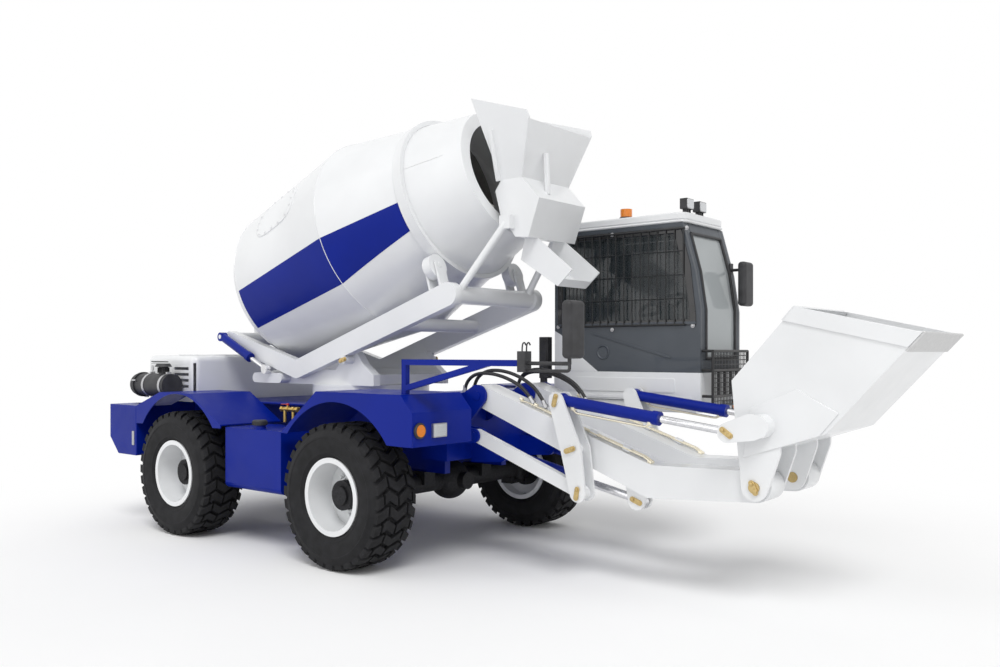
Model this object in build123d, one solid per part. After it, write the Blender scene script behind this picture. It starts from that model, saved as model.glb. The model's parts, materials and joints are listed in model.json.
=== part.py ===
from build123d import *
import os
from math import asin, atan2, cos, degrees, hypot, radians, sin

# Self-loading concrete mixer: four steered wheels, a slewing and tilting drum behind,
# a cab on the left and a loader with a narrow bucket in front.
# Millimetres. While modelling, X runs forward from the front axle, Y to the left and Z up
# from the ground; the finished solids are moved back so that X = 0 is the middle of the length.

# Clearance about pins and other running fits
PIN_CLEAR = 0.3

# Wheels
WHEELBASE = 2080.0
TRACK = 2220.0
TYRE_D = 1075.0
TYRE_W = 400.0
TREAD_W = 350.0
LUG_H = 32.0
LUG_W = 62.0
LUG_ROWS = 17
LUG_ANGLE = 32.0
RIM_FLANGE_R = 286.0
RIM_SEAT_R = 262.0
RIM_WALL = 14.0
RIM_DISC_T = 16.0
RIM_DISC_Y = -20.0
HUB_R = 110.0
KINGPIN_Y = 930.0
KINGPIN_R = 42.0
YOKE_GAP = 190.0
AXLE_TUBE_R = 80.0

# Chassis
RAIL_Y = 350.0
RAIL_T = 60.0
RAIL_Z0 = 640.0
DECK_Z = 1130.0
DECK_T = 15.0
DECK_HALF = 640.0
BODY_HALF = 1250.0
SKIN_T = 10.0
BUMPER_X0 = -WHEELBASE - 1150
BUMPER_X1 = -WHEELBASE - 670
BUMPER_Z0 = 640.0
BUMPER_Z1 = 1100.0
FRONT_FENDER_Z = 1300.0
REAR_FENDER_Z = 1235.0
ARCH_R = 690.0
NOSE_X0 = 300.0
NOSE_X1 = 560.0
NOSE_Z0 = 780.0
NOSE_Z1 = 1285.0
NOSE_FACE_X = 800.0
TANK_X0 = -WHEELBASE + 660
TANK_X1 = -680.0
TANK_Y0 = 760.0
TANK_Y1 = BODY_HALF - 50
TANK_Z0 = 470.0
TANK_Z1 = 970.0
NECK_X = (TANK_X0 + TANK_X1) / 2 - 10
NECK_Y = TANK_Y1 - 80
NECK_R = 48.0
NECK_L = 50.0

# Engine bay
HOOD_X0 = BUMPER_X0 + 60
HOOD_X1 = -WHEELBASE - 280
HOOD_HALF = 900.0
HOOD_Z0 = DECK_Z
HOOD_Z1 = 1560.0
HOOD_T = 12.0
HOOD_ROUND = 70.0
CLEANER_R = 105.0
CLEANER_X0 = HOOD_X0 + 90
CLEANER_L = HOOD_X1 - HOOD_X0 - 250
CLEANER_Y = -HOOD_HALF - CLEANER_R - 20

# Cab
CAB_X0 = 650.0
CAB_X1 = 1990.0
CAB_Y0 = 600.0
CAB_Y1 = 1285.0
CAB_Z0 = 1215.0
CAB_Z1 = 2580.0
CAB_RAKE = 60.0
CAB_WALL = 40.0
CAB_SILL_Z = 1840.0
CAB_HEAD_Z = 2500.0
CAB_PILLAR = 90.0
GLASS_T = 6.0
ROOF_T = 80.0
CAB_PLINTH = 85.0
DOOR_GAP = 6.0
FRONT_SILL_Z = CAB_Z0 + 320
DOOR_X0 = CAB_X0 + 260
DOOR_X1 = CAB_X1 - 150
DOOR_Z0 = CAB_Z0 + 60
DOOR_Z1 = CAB_HEAD_Z + 30
DOOR_FRAME = 70.0
HINGE_R = 9.0
HINGE_L = 90.0
HINGE_X = DOOR_X0 - DOOR_GAP / 2
HINGE_Y = CAB_Y1 + HINGE_R + PIN_CLEAR

# Lamps, rails and mirrors
LAMP_T = 20.0
RAIL_X0 = 640.0
RAIL_X1 = 1650.0
RAIL_SIDE = -BODY_HALF + 100
RAIL_TOP = 1522.0
RAIL_TUBE = 40.0
MIRROR_R = 12.0

# Loader: pivots as (X, Z) at rest, and the plan positions of its plates
ARM_PIVOT = (675.0, 1264.0)
LEVER_PIVOT = (1609.0, 930.0)
ELBOW = (2130.0, 745.0)
BUCKET_PIVOT = (2864.0, 778.0)
LEVER_DROP = (55.0, -290.0)
LEVER_RISE = (-125.0, 330.0)
LIFT_REAR = (840.0, 835.0)
LIFT_EYE = (2004.0, 600.0)
ARM_Y0 = 200.0
ARM_Y1 = 400.0
ARM_ROOT_R = 80.0
ARM_ELBOW_R = 108.0
ARM_TIP_R = 95.0
PIN_R = 34.0
LEVER_IN_Y = 424.0
LEVER_OUT_Y = 532.0
LEVER_T = 18.0
TILT_Y = 487.0
EYE_W = 76.0
TILT_BORE_R = 40.0
TILT_ROD_R = 24.0
LIFT_Y = 300.0
LIFT_BORE_R = 46.0
LIFT_ROD_R = 28.0
LIFT_EYE_W = 50.0

# Bucket
BUCKET_HALF = 433.0
BUCKET_T = 25.0
BUCKET_FLOOR_ANGLE = 48.0
BUCKET_DEPTH = 600.0
BUCKET_FLOOR_L = 775.0
BUCKET_HEEL = (427.0, 344.0)

# Drum and what carries it
SLEW_X = -950.0
SLEW_R = 520.0
SLEW_GAP = 0.5
PLATFORM_Z = 1310.0
DRUM_ANGLE = 17.0
DRUM_SEAM = (-650.0, 2610.0)
DRUM_R = 872.0
DRUM_REAR_R = 770.0
DRUM_REAR_S = -1300.0
DRUM_END_S = -1620.0
DRUM_END_R = 480.0
DRUM_MOUTH_S = 1330.0
DRUM_MOUTH_R = 526.0
DRUM_OPEN_R = 430.0
DRUM_WALL = 10.0
RING_S = 790.0
RING_W = 90.0
RING_RISE = 26.0
ROLLER_R = 95.0
ROLLER_W = 80.0
ROLLER_SPREAD = 38.0
TILT_PIN = (-700.0, 1526.0)
CRADLE_Y0 = 465.0
CRADLE_Y1 = 545.0
DUMP_TOP = (-2358.0, 1736.0)
DUMP_FOOT = (-1693.0, 1439.0)
DUMP_Y = 597.0
DUMP_PIN_R = 20.0
GEARBOX_S = -1806.0
GEARBOX_L = 280.0
GEARBOX_HALF = 180.0
ROLLER_PIN_R = 22.0
HOPPER_HALF = 300.0
HOPPER_FLARE = 15.0
CHUTE_HALF = 185.0

AXLE_Z = TYRE_D / 2
LEVER_LOW = (LEVER_PIVOT[0] + LEVER_DROP[0], LEVER_PIVOT[1] + LEVER_DROP[1])
LEVER_TOP = (LEVER_PIVOT[0] + LEVER_RISE[0], LEVER_PIVOT[1] + LEVER_RISE[1])
LINK_REAR = (ARM_PIVOT[0] + LEVER_DROP[0], ARM_PIVOT[1] + LEVER_DROP[1])
TILT_EYE = (BUCKET_PIVOT[0] + LEVER_RISE[0], BUCKET_PIVOT[1] + LEVER_RISE[1])
FLOOR_DIR = (cos(radians(BUCKET_FLOOR_ANGLE)), sin(radians(BUCKET_FLOOR_ANGLE)))
HEEL = (BUCKET_PIVOT[0] + BUCKET_HEEL[0], BUCKET_PIVOT[1] + BUCKET_HEEL[1])
LIP = (HEEL[0] + BUCKET_FLOOR_L * FLOOR_DIR[0], HEEL[1] + BUCKET_FLOOR_L * FLOOR_DIR[1])
X_MIDDLE = (BUMPER_X0 - LAMP_T + LIP[0]) / 2
DRUM_DIR = (cos(radians(DRUM_ANGLE)), sin(radians(DRUM_ANGLE)))

NODES = {}


def plate(outline, y0, y1):
    """A flat outline in X and Z, made solid from y0 to y1."""
    return extrude(Plane.XZ.offset(-y1) * outline, amount=y1 - y0, dir=(0, -1, 0))


def disc(centre, radius):
    return Pos(centre[0], centre[1]) * Circle(radius)


def pin(centre, radius, y0, y1):
    return plate(disc(centre, radius), y0, y1)


def poly(*points):
    """A polygon through the points, which may run either way round."""
    twice_area = sum(a[0] * b[1] - b[0] * a[1] for a, b in zip(points, points[1:] + points[:1]))
    return Polygon(*(points if twice_area > 0 else points[::-1]), align=None)


def bar(a, ra, b, rb):
    """Outline of a tapered bar with round ends about a and b."""
    run = hypot(b[0] - a[0], b[1] - a[1])
    aim = atan2(b[1] - a[1], b[0] - a[0])
    lean = asin((ra - rb) / run)
    corners = []
    for centre, radius, side in ((a, ra, 1), (b, rb, 1), (b, rb, -1), (a, ra, -1)):
        turn = aim + side * (radians(90) - lean)
        corners.append((centre[0] + radius * cos(turn), centre[1] + radius * sin(turn)))
    return disc(a, ra) + disc(b, rb) + poly(*corners)


def block(x0, x1, y0, y1, z0, z1):
    return Pos((x0 + x1) / 2, (y0 + y1) / 2, (z0 + z1) / 2) * Box(x1 - x0, y1 - y0, z1 - z0)


def tube_between(a, b, radius):
    """A round bar from point a to point b."""
    line = Edge.make_line(a, b)
    return Solid.make_cylinder(radius, line.length, Plane(origin=a, z_dir=line % 0))


def both_sides(*solids):
    """The solids and their mirror images across the machine's middle plane."""
    twins = [mirror(solid, about=Plane.XZ) for solid in solids]
    return Compound(children=[*solids, *twins])


def rod_plane(start, end, y):
    """A plane at start whose Z looks from start to end, both given in X and Z."""
    return Plane(origin=(start[0], y, start[1]), x_dir=(0, 1, 0),
                 z_dir=(end[0] - start[0], 0, end[1] - start[1]))


def drum_place(s, r=0.0):
    """X and Z of a point s along the drum's axis from the seam and r above it."""
    return (DRUM_SEAM[0] + s * DRUM_DIR[0] - r * DRUM_DIR[1],
            DRUM_SEAM[1] + s * DRUM_DIR[1] + r * DRUM_DIR[0])


def drum_plane(s):
    x, z = drum_place(s)
    return Plane(origin=(x, 0, z), x_dir=(0, 1, 0), z_dir=(DRUM_DIR[0], 0, DRUM_DIR[1]))


# Wheels, modelled about their own centre with the axle along Y and the outer side at +Y
def tyre():
    tread_r = AXLE_Z - LUG_H
    half = TYRE_W / 2
    tread = TREAD_W / 2
    bead = RIM_SEAT_R + PIN_CLEAR
    bulge_r = (tread_r + bead) / 2
    bead_half = half - 40
    flange_r = RIM_FLANGE_R + 6
    section = Polyline((bead, -bead_half), (flange_r, -bead_half), (bulge_r - 60, -half),
                       (bulge_r + 50, -half),
                       (tread_r - 35, -tread), (tread_r, -tread + 45), (tread_r, tread - 45),
                       (tread_r - 35, tread), (bulge_r + 50, half), (bulge_r - 60, half),
                       (flange_r, bead_half), (bead, bead_half), close=True)
    carcass = revolve(make_face(section), Axis.Y)
    pitch = 360 / LUG_ROWS
    lug_l = tread / cos(radians(LUG_ANGLE)) - 24
    lugs = []
    for row in range(LUG_ROWS):
        for side in (-1, 1):
            turn = pitch * (row + (0.25 if side > 0 else -0.25))
            lug = Box(LUG_W, lug_l, LUG_H + 24)
            lug = Pos(0, side * tread / 2, AXLE_Z - (LUG_H + 24) / 2) * (Rot(0, 0, side * LUG_ANGLE) * lug)
            lugs.append(Rot(0, turn, 0) * lug)
    trim = Pos(0, 0, 0) * (Rot(90, 0, 0) * Cylinder(AXLE_Z, TYRE_W))
    return carcass + [lug & trim for lug in lugs]


def rim():
    half = TYRE_W / 2 - 40
    lip_y = half + 12
    seat = RIM_SEAT_R
    inner = seat - RIM_WALL
    barrel = make_face(Polyline((inner, -lip_y), (RIM_FLANGE_R, -lip_y), (RIM_FLANGE_R, -half - PIN_CLEAR),
                                (seat, -half - PIN_CLEAR), (seat, half + PIN_CLEAR),
                                (RIM_FLANGE_R, half + PIN_CLEAR), (RIM_FLANGE_R, lip_y), (inner, lip_y),
                                close=True))
    bore = HUB_R + PIN_CLEAR
    web = make_face(Polyline((bore, RIM_DISC_Y), (inner + 2, RIM_DISC_Y - 30),
                             (inner + 2, RIM_DISC_Y - 30 - RIM_DISC_T), (bore, RIM_DISC_Y - RIM_DISC_T),
                             close=True))
    return revolve(barrel, Axis.Y) + revolve(web, Axis.Y)


def knuckle():
    """Steering knuckle of the left side: kingpin, drive hub and its cap, about the wheel's centre."""
    king = KINGPIN_Y - TRACK / 2
    post = Pos(0, king, 0) * Cylinder(KINGPIN_R + 26, YOKE_GAP - 1)
    drum_face = RIM_DISC_Y - RIM_DISC_T - 30 - PIN_CLEAR
    stages = ((king, drum_face - 26, 95.0), (drum_face - 26, drum_face, 165.0),
              (drum_face, 62.0, HUB_R), (62.0, 84.0, 70.0))
    body = post
    for y0, y1, radius in stages:
        body += pin((0, 0), radius, y0, y1)
    return body


def wheels():
    places = (("front_right", 0.0, -1), ("front_left", 0.0, 1), ("rear_right", -WHEELBASE, -1),
              ("rear_left", -WHEELBASE, 1))
    tyre_solid = tyre()
    rim_solid = rim()
    knuckle_solid = knuckle()
    for name, x, side in places:
        spot = Pos(x, side * TRACK / 2, AXLE_Z)
        for node, solid in (("tyre", tyre_solid), ("rim", rim_solid), ("knuckle", knuckle_solid)):
            handed = solid if side > 0 else mirror(solid, about=Plane.XZ)
            NODES[f"{node}_{name}"] = spot * handed


def axle(x):
    """Drive axle: tube, differential, end yokes round the kingpins and pads up to the rails."""
    beam = Pos(x, 0, AXLE_Z) * (Rot(90, 0, 0) * Cylinder(AXLE_TUBE_R, 2 * (KINGPIN_Y - 110)))
    beam += Pos(x, 0, AXLE_Z) * Sphere(165)
    beam += Pos(x, 0, AXLE_Z) * (Rot(0, 90, 0) * Cylinder(70, 420))
    for side in (-1, 1):
        y = side * KINGPIN_Y
        web = block(x - 60, x + 60, y - side * 150 - 20, y - side * 150 + 20,
                    AXLE_Z - YOKE_GAP / 2 - 30, AXLE_Z + YOKE_GAP / 2 + 30)
        beam += web
        for up in (-1, 1):
            z = AXLE_Z + up * (YOKE_GAP / 2 + 15)
            beam += Pos(x, y, z) * Cylinder(62, 30)
            beam += block(x - 55, x + 55, min(y, y - side * 150), max(y, y - side * 150), z - 15, z + 15)
        pad_y = side * RAIL_Y
        beam += block(x - 110, x + 110, pad_y - 60, pad_y + 60, AXLE_Z, RAIL_Z0)
    return beam


# Chassis
def chassis_frame():
    x0 = BUMPER_X0 + 60
    rails = [block(x0, NOSE_X0, s * RAIL_Y - RAIL_T / 2, s * RAIL_Y + RAIL_T / 2, RAIL_Z0,
                   DECK_Z) for s in (-1, 1)]
    frame = rails[0] + rails[1]
    for x in (x0 + 40, -1500.0, SLEW_X, -520.0):
        frame += block(x - 40, x + 40, -RAIL_Y, RAIL_Y, DECK_Z - 190, DECK_Z)
    return frame


def deck():
    plate_x1 = NOSE_X0
    return block(HOOD_X1, plate_x1, -DECK_HALF, DECK_HALF, DECK_Z, DECK_Z + DECK_T)


def fender_shell(outline, inner, axle_x, y0, y1):
    """A folded sheet fender: outline from y0 to y1, hollow behind its skin, with the wheel arch cut."""
    shell = plate(outline, y0, y1) - plate(inner, y0 - 1, y1 - SKIN_T)
    return shell - pin((axle_x, AXLE_Z), ARCH_R, y0 - 2, y1 + 2)


def front_fender(side):
    z = FRONT_FENDER_Z
    t = SKIN_T
    back, rise, flat, face = TANK_X1 + 60, -200.0, 690.0, NOSE_FACE_X
    low, shoulder, foot = TANK_Z1, 1180.0, 945.0
    outline = poly((back, low), (rise, z), (flat, z), (face, shoulder), (face, foot), (flat, foot))
    inner = poly((back + 2 * t, low - t), (rise + t / 2, z - t), (flat - t / 2, z - t),
                 (face - t, shoulder - t / 2),
                 (face - t, foot - 1), (flat, foot - 1))
    shell = fender_shell(outline, inner, 0.0, DECK_HALF, BODY_HALF)
    if side < 0:
        return mirror(shell, about=Plane.XZ)
    return shell - block(CAB_X0 - 20, face + 10, DECK_HALF - 5, BODY_HALF + 5, foot - 5, z + 5)


def rear_fender(side):
    z = REAR_FENDER_Z
    t = SKIN_T
    outline = poly((BUMPER_X1, BUMPER_Z1 - 160), (BUMPER_X1, BUMPER_Z1), (-2350, z), (-1870, z),
                   (TANK_X0, 990), (TANK_X0, 960))
    inner = poly((BUMPER_X1 - 1, BUMPER_Z1 - 170), (BUMPER_X1 - 1, BUMPER_Z1 - t), (-2350, z - t),
                 (-1870, z - t),
                 (TANK_X0 + 1, 990 - t), (TANK_X0 + 1, 940))
    shell = fender_shell(outline, inner, -WHEELBASE, DECK_HALF, BODY_HALF)
    shell -= block(HOOD_X0, HOOD_X1, DECK_HALF - 1, HOOD_HALF, DECK_Z - 200, z + 1)
    return shell if side > 0 else mirror(shell, about=Plane.XZ)


def rear_bumper():
    cut = 150.0
    outline = poly((BUMPER_X0 + cut, BUMPER_Z0), (BUMPER_X1, BUMPER_Z0), (BUMPER_X1, BUMPER_Z1),
                   (BUMPER_X0, BUMPER_Z1), (BUMPER_X0, BUMPER_Z0 + cut))
    box = plate(outline, -BODY_HALF, BODY_HALF)
    box -= block(BUMPER_X0 + 60, BUMPER_X1 + 1, -BODY_HALF + 200, BODY_HALF - 200, BUMPER_Z0 - 1,
                 BUMPER_Z1 + 1)
    return box


def side_tanks():
    """Fuel tank on the right, oil tank on the left, each with a rounded lower edge and a filler neck."""
    tank = block(TANK_X0, TANK_X1, TANK_Y0, TANK_Y1, TANK_Z0, TANK_Z1)
    tank = fillet(tank.edges().filter_by(Axis.X).group_by(Axis.Z)[0], 45)
    tank += block(TANK_X0 + 120, TANK_X1 - 120, RAIL_Y + RAIL_T / 2, TANK_Y0, TANK_Z1 - 140, TANK_Z1 - 20)
    neck = Pos(NECK_X, NECK_Y, TANK_Z1 + NECK_L / 2) * Cylinder(NECK_R, NECK_L)
    return both_sides(tank + neck)


def nose_frame():
    """Front cross box with the towers of the loader arms, their links and their lift cylinders."""
    box = block(NOSE_X0, NOSE_X1, -DECK_HALF, DECK_HALF, NOSE_Z0, NOSE_Z1)
    box -= block(NOSE_X0 - 1, NOSE_X1 - 20, -DECK_HALF + 20, DECK_HALF - 20, NOSE_Z0 - 1, NOSE_Z1 - 20)
    gap = 10.0
    ear_t = 25.0
    root = NOSE_X1 - 10
    ears = (
        # anchor, radius there, pivot, radius there, inner plate faces, outer plate faces, pin radius
        ((root, ARM_PIVOT[1] - 100), 105, ARM_PIVOT, 82, (ARM_Y0 - gap - ear_t, ARM_Y0 - gap),
         (ARM_Y1 + gap, ARM_Y1 + gap + ear_t), PIN_R),
        ((root, LINK_REAR[1]), 70, LINK_REAR, 52, (TILT_Y - 50, TILT_Y - 32),
         (TILT_Y + 32, TILT_Y + 50), PIN_R - 8),
        ((root, LIFT_REAR[1]), 85, LIFT_REAR, 62, (LIFT_Y - 60, LIFT_Y - 35),
         (LIFT_Y + 35, LIFT_Y + 60), PIN_R),
    )
    for anchor, ra, pivot, rb, inside, outside, r in ears:
        behind = poly((0, 0), (NOSE_X1 - 5, 0), (NOSE_X1 - 5, 2000), (0, 2000))
        outline = bar(anchor, ra, pivot, rb) - disc(pivot, 0.5) - behind
        for side in (-1, 1):
            for faces in (inside, outside):
                y0, y1 = sorted((side * faces[0], side * faces[1]))
                box += plate(outline, y0, y1)
            ends = sorted((side * (inside[0] - 6), side * (outside[1] + 6)))
            box += pin(pivot, r, *ends)
    return box


# Engine bay
def engine_hood():
    hood = block(HOOD_X0, HOOD_X1, -HOOD_HALF, HOOD_HALF, HOOD_Z0, HOOD_Z1)
    hood = fillet(hood.edges().filter_by(Axis.Z), HOOD_ROUND)
    hood = fillet(hood.faces().sort_by(Axis.Z)[-1].edges(), HOOD_ROUND - 15)
    hood -= block(HOOD_X0 + HOOD_T, HOOD_X1 - HOOD_T, -HOOD_HALF + HOOD_T, HOOD_HALF - HOOD_T,
                  HOOD_Z0 - 1, HOOD_Z1 - HOOD_ROUND)
    slot_h = 26.0
    for row in range(4):
        z = HOOD_Z0 + 130 + row * 55
        for side in (-1, 1):
            y0, y1 = sorted((side * (HOOD_HALF - HOOD_T - 1), side * (HOOD_HALF + 1)))
            hood -= block(HOOD_X0 + 470, HOOD_X1 - 90, y0, y1, z, z + slot_h)
    return hood


def engine_block():
    engine = block(-3040, -2440, -270, 270, 760, 1430)
    mount = RAIL_Y - RAIL_T / 2
    for x in (-2940, -2540):
        engine += block(x - 50, x + 50, -mount, mount, 900, 950)
    return engine


def air_cleaner():
    x1 = CLEANER_X0 + CLEANER_L
    z = 1285.0
    can = Pos((CLEANER_X0 + x1) / 2, CLEANER_Y, z) * (Rot(0, 90, 0) * Cylinder(CLEANER_R, CLEANER_L))
    can += Pos(CLEANER_X0 + 60, CLEANER_Y, z) * (Rot(0, 90, 0) * Cylinder(CLEANER_R + 12, 24))
    can += Pos(x1 - 150, CLEANER_Y, z + 130) * Cylinder(42, 90)
    can += Pos(x1 - 150, CLEANER_Y, z + 185) * Cone(78, 60, 30)
    can += block(CLEANER_X0 + 140, CLEANER_X0 + 200, CLEANER_Y, -HOOD_HALF, z - 40, z + 40)
    return can


# Drum carrier
def turntable_base():
    low = DECK_Z + DECK_T
    high = PLATFORM_Z - SLEW_GAP - 20
    return Pos(SLEW_X, 0, (low + high) / 2) * Cylinder(SLEW_R, high - low)


def slew_platform():
    ring = Pos(SLEW_X, 0, PLATFORM_Z - 10) * Cylinder(SLEW_R, 20)
    y0, y1 = CRADLE_Y0 - 85, CRADLE_Y0 - 10
    side_plate = poly((-2050, PLATFORM_Z + 90), (-1980, PLATFORM_Z), (-430, PLATFORM_Z),
                      (-430, PLATFORM_Z + 90), (-560, TILT_PIN[1] - 30), (-640, TILT_PIN[1] + 70),
                      (-760, TILT_PIN[1] + 70), (-900, PLATFORM_Z + 130), (-1600, PLATFORM_Z + 130))
    body = ring
    for side in (-1, 1):
        faces = sorted((side * y0, side * y1))
        body += plate(side_plate, *faces)
        body += pin(TILT_PIN, PIN_R, *sorted((side * y1, side * (CRADLE_Y1 + 8))))
        foot = sorted((side * y0, side * (DUMP_Y - 40)))
        body += plate(bar((-1560, PLATFORM_Z + 50), 45, (-1900, PLATFORM_Z + 50), 45), *foot)
    body += block(-2000, -1920, -y1, y1, PLATFORM_Z + 10, PLATFORM_Z + 90)
    body += block(-560, -480, -y1, y1, PLATFORM_Z + 10, PLATFORM_Z + 90)
    return body


def drum_cradle():
    """Tilting frame: side beams, cross tubes, roller cheeks in front and gearbox cheeks behind."""
    low = (-1330.0, 1440.0)
    high = (470.0, 2030.0)
    rear = (-2330.0, 1720.0)
    outline = bar(low, 80, high, 92) + bar(low, 80, rear, 70) - disc(TILT_PIN, PIN_R + PIN_CLEAR)
    gear = drum_place(GEARBOX_S)
    cheek = bar(rear, 60, gear, 90)
    body = None
    for side in (-1, 1):
        beam = plate(outline, *sorted((side * CRADLE_Y0, side * CRADLE_Y1)))
        body = beam if body is None else body + beam
        body += plate(cheek, *sorted((side * GEARBOX_HALF, side * (GEARBOX_HALF + 25))))
        body += pin(DUMP_TOP, DUMP_PIN_R, *sorted((side * (CRADLE_Y1 - 10), side * (DUMP_Y + 34))))
        body += block(830, 930, *sorted((side * HOPPER_HALF, side * (HOPPER_HALF + 60))), 2510, 2610)
        body += tube_between((high[0], side * 430, high[1]), (880, side * (HOPPER_HALF + 36), 2560), 28)
        across, down = roller_spot(side)
        for fore in (-1, 1):
            z = fore * (ROLLER_W / 2 + 16)
            wall = Pos(across, down - 95, z) * Box(96, 250, 20)
            wall -= Pos(across, down, z) * Cylinder(ROLLER_PIN_R + PIN_CLEAR, 30)
            body += drum_plane(RING_S).location * wall
    cross = CRADLE_Y0 + 10
    for x, z, r in ((*rear, 60), (-120.0, 1815.0, 55), (*high, 70)):
        body += pin((x, z), r, -cross, cross)
    return body


def drum():
    """Hollow drum turned about its own axis, with the roller track and the open mouth."""
    t = DRUM_WALL
    outer = Polyline((0, DRUM_END_S), (DRUM_END_R, DRUM_END_S + 70), (DRUM_REAR_R - 60, DRUM_REAR_S - 110),
                     (DRUM_REAR_R, DRUM_REAR_S), (DRUM_R, 0), (DRUM_MOUTH_R, DRUM_MOUTH_S),
                     (DRUM_OPEN_R, DRUM_MOUTH_S), (DRUM_OPEN_R, DRUM_MOUTH_S - t),
                     (DRUM_MOUTH_R - t, DRUM_MOUTH_S - t),
                     (DRUM_R - t, 0), (DRUM_REAR_R - t, DRUM_REAR_S),
                     (DRUM_REAR_R - 60 - t, DRUM_REAR_S - 110),
                     (DRUM_END_R, DRUM_END_S + 70 + t), (0, DRUM_END_S + t), close=True)
    shell = revolve(make_face(Plane.XZ * outer), Axis.Z)
    taper = (DRUM_R - DRUM_MOUTH_R) / DRUM_MOUTH_S
    ring_r = DRUM_R - taper * RING_S
    ring = Polyline((ring_r - t, RING_S - RING_W / 2), (ring_r + RING_RISE, RING_S - RING_W / 2),
                    (ring_r + RING_RISE, RING_S + RING_W / 2), (ring_r - t, RING_S + RING_W / 2),
                    close=True)
    shell += revolve(make_face(Plane.XZ * ring), Axis.Z)
    shell += Pos(0, 0, DRUM_END_S - 15) * Cylinder(180, 60)
    return drum_plane(0).location * shell


def track_radius():
    return DRUM_R - (DRUM_R - DRUM_MOUTH_R) / DRUM_MOUTH_S * RING_S + RING_RISE


def roller_spot(side):
    """Place of a roller's axis across the drum and below its axis."""
    reach = track_radius() + ROLLER_R + PIN_CLEAR
    return side * reach * sin(radians(ROLLER_SPREAD)), -reach * cos(radians(ROLLER_SPREAD))


def drum_rollers():
    """Two rollers under the track, their axles held by the cheeks of the cradle."""
    pieces = []
    for side in (-1, 1):
        wheel = Cylinder(ROLLER_R, ROLLER_W) + Cylinder(ROLLER_PIN_R, ROLLER_W + 60)
        pieces.append(drum_plane(RING_S).location * (Pos(*roller_spot(side), 0) * wheel))
    return Compound(children=pieces)


def drum_gearbox():
    gear = Cylinder(165, GEARBOX_L) + Box(2 * GEARBOX_HALF, 90, 90)
    return drum_plane(GEARBOX_S).location * gear


def hopper():
    """Flared feed hopper: two wings and a front plate over a box with a chute."""
    t = 12.0
    w = HOPPER_HALF
    sill_x, sill_z = 1000.0, 2890.0
    box = plate(poly((745, 2810), (800, sill_z), (sill_x, sill_z), (1160, 2720), (1060, 2440),
                     (940, 2450), (800, 2610)), -w, w)
    box -= plate(poly((740, 2825), (790, sill_z + 1), (sill_x - 5, sill_z + 1), (1145, 2718),
                      (1050, 2453), (947, 2463), (795, 2625)), -w + t, w - t)
    chute = plate(poly((940, 2450), (1060, 2440), (1370, 2190), (1240, 2075), (900, 2290)), -CHUTE_HALF,
                  CHUTE_HALF)
    chute -= plate(poly((930, 2462), (1070, 2452), (1390, 2182), (1242, 2092), (915, 2302)),
                   -CHUTE_HALF + t, CHUTE_HALF - t)
    body = box + chute
    wing = poly((800, -8), (sill_x, -8), (sill_x + 150, 420), (sill_x + 130, 470), (640, 630))
    for side in (-1, 1):
        leaf = plate(wing, *sorted((0, side * t)))
        body += Pos(0, side * (w - t), sill_z) * (Rot(-side * HOPPER_FLARE, 0, 0) * leaf)
    face = Plane.YZ * poly((-w, -8), (w, -8), (w + 110, 420), (-w - 110, 420))
    front = extrude(face, amount=t, dir=(1, 0, 0))
    body += Pos(sill_x - t, 0, sill_z) * (Rot(0, HOPPER_FLARE + 5, 0) * front)
    return body


def hydraulic_cylinder(foot, eye, y, bore_r, rod_r, length, inside, foot_w, eye_w, pin_r):
    """Barrel and rod at y: the barrel turns on a pin at foot, the rod runs in an open bore to eye."""
    plane = rod_plane(foot, eye, y)
    run = hypot(eye[0] - foot[0], eye[1] - foot[1])
    boss_r = pin_r + 22
    trim_r = boss_r + 16
    bore_from = inside - 110
    barrel = plane.location * (Pos(0, 0, length / 2) * Cylinder(bore_r, length))
    barrel += plane.location * (Pos(0, 0, length - 25) * Cylinder(bore_r + 6, 50))
    barrel += pin(foot, boss_r, y - foot_w / 2, y + foot_w / 2)
    barrel -= pin(foot, pin_r + PIN_CLEAR, y - bore_r - 20, y + bore_r + 20)
    barrel -= pin(foot, trim_r, y + foot_w / 2, y + bore_r + 20)
    barrel -= pin(foot, trim_r, y - bore_r - 20, y - foot_w / 2)
    bore = Cylinder(rod_r + PIN_CLEAR, length + 10 - bore_from)
    barrel -= plane.location * (Pos(0, 0, (bore_from + length + 10) / 2) * bore)
    rod = plane.location * (Pos(0, 0, (inside + run) / 2) * Cylinder(rod_r, run - inside))
    rod += pin(eye, boss_r, y - eye_w / 2, y + eye_w / 2)
    return barrel, rod


def cylinders():
    tilt = hydraulic_cylinder(LEVER_TOP, TILT_EYE, TILT_Y, TILT_BORE_R, TILT_ROD_R, 780, 230, EYE_W, 60,
                              PIN_R - 8)
    lift = hydraulic_cylinder(LIFT_REAR, LIFT_EYE, LIFT_Y, LIFT_BORE_R, LIFT_ROD_R, 760, 180, 64,
                              LIFT_EYE_W, PIN_R)
    dump = hydraulic_cylinder(DUMP_TOP, DUMP_FOOT, DUMP_Y, 38, 20, 480, 260, 60, 44, DUMP_PIN_R)
    for name, (barrel, rod) in (("tilt_cylinder", tilt), ("lift_cylinder", lift), ("dump_cylinder", dump)):
        NODES[f"{name}_barrels"] = both_sides(barrel)
        NODES[f"{name}_rods"] = both_sides(rod)


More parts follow.
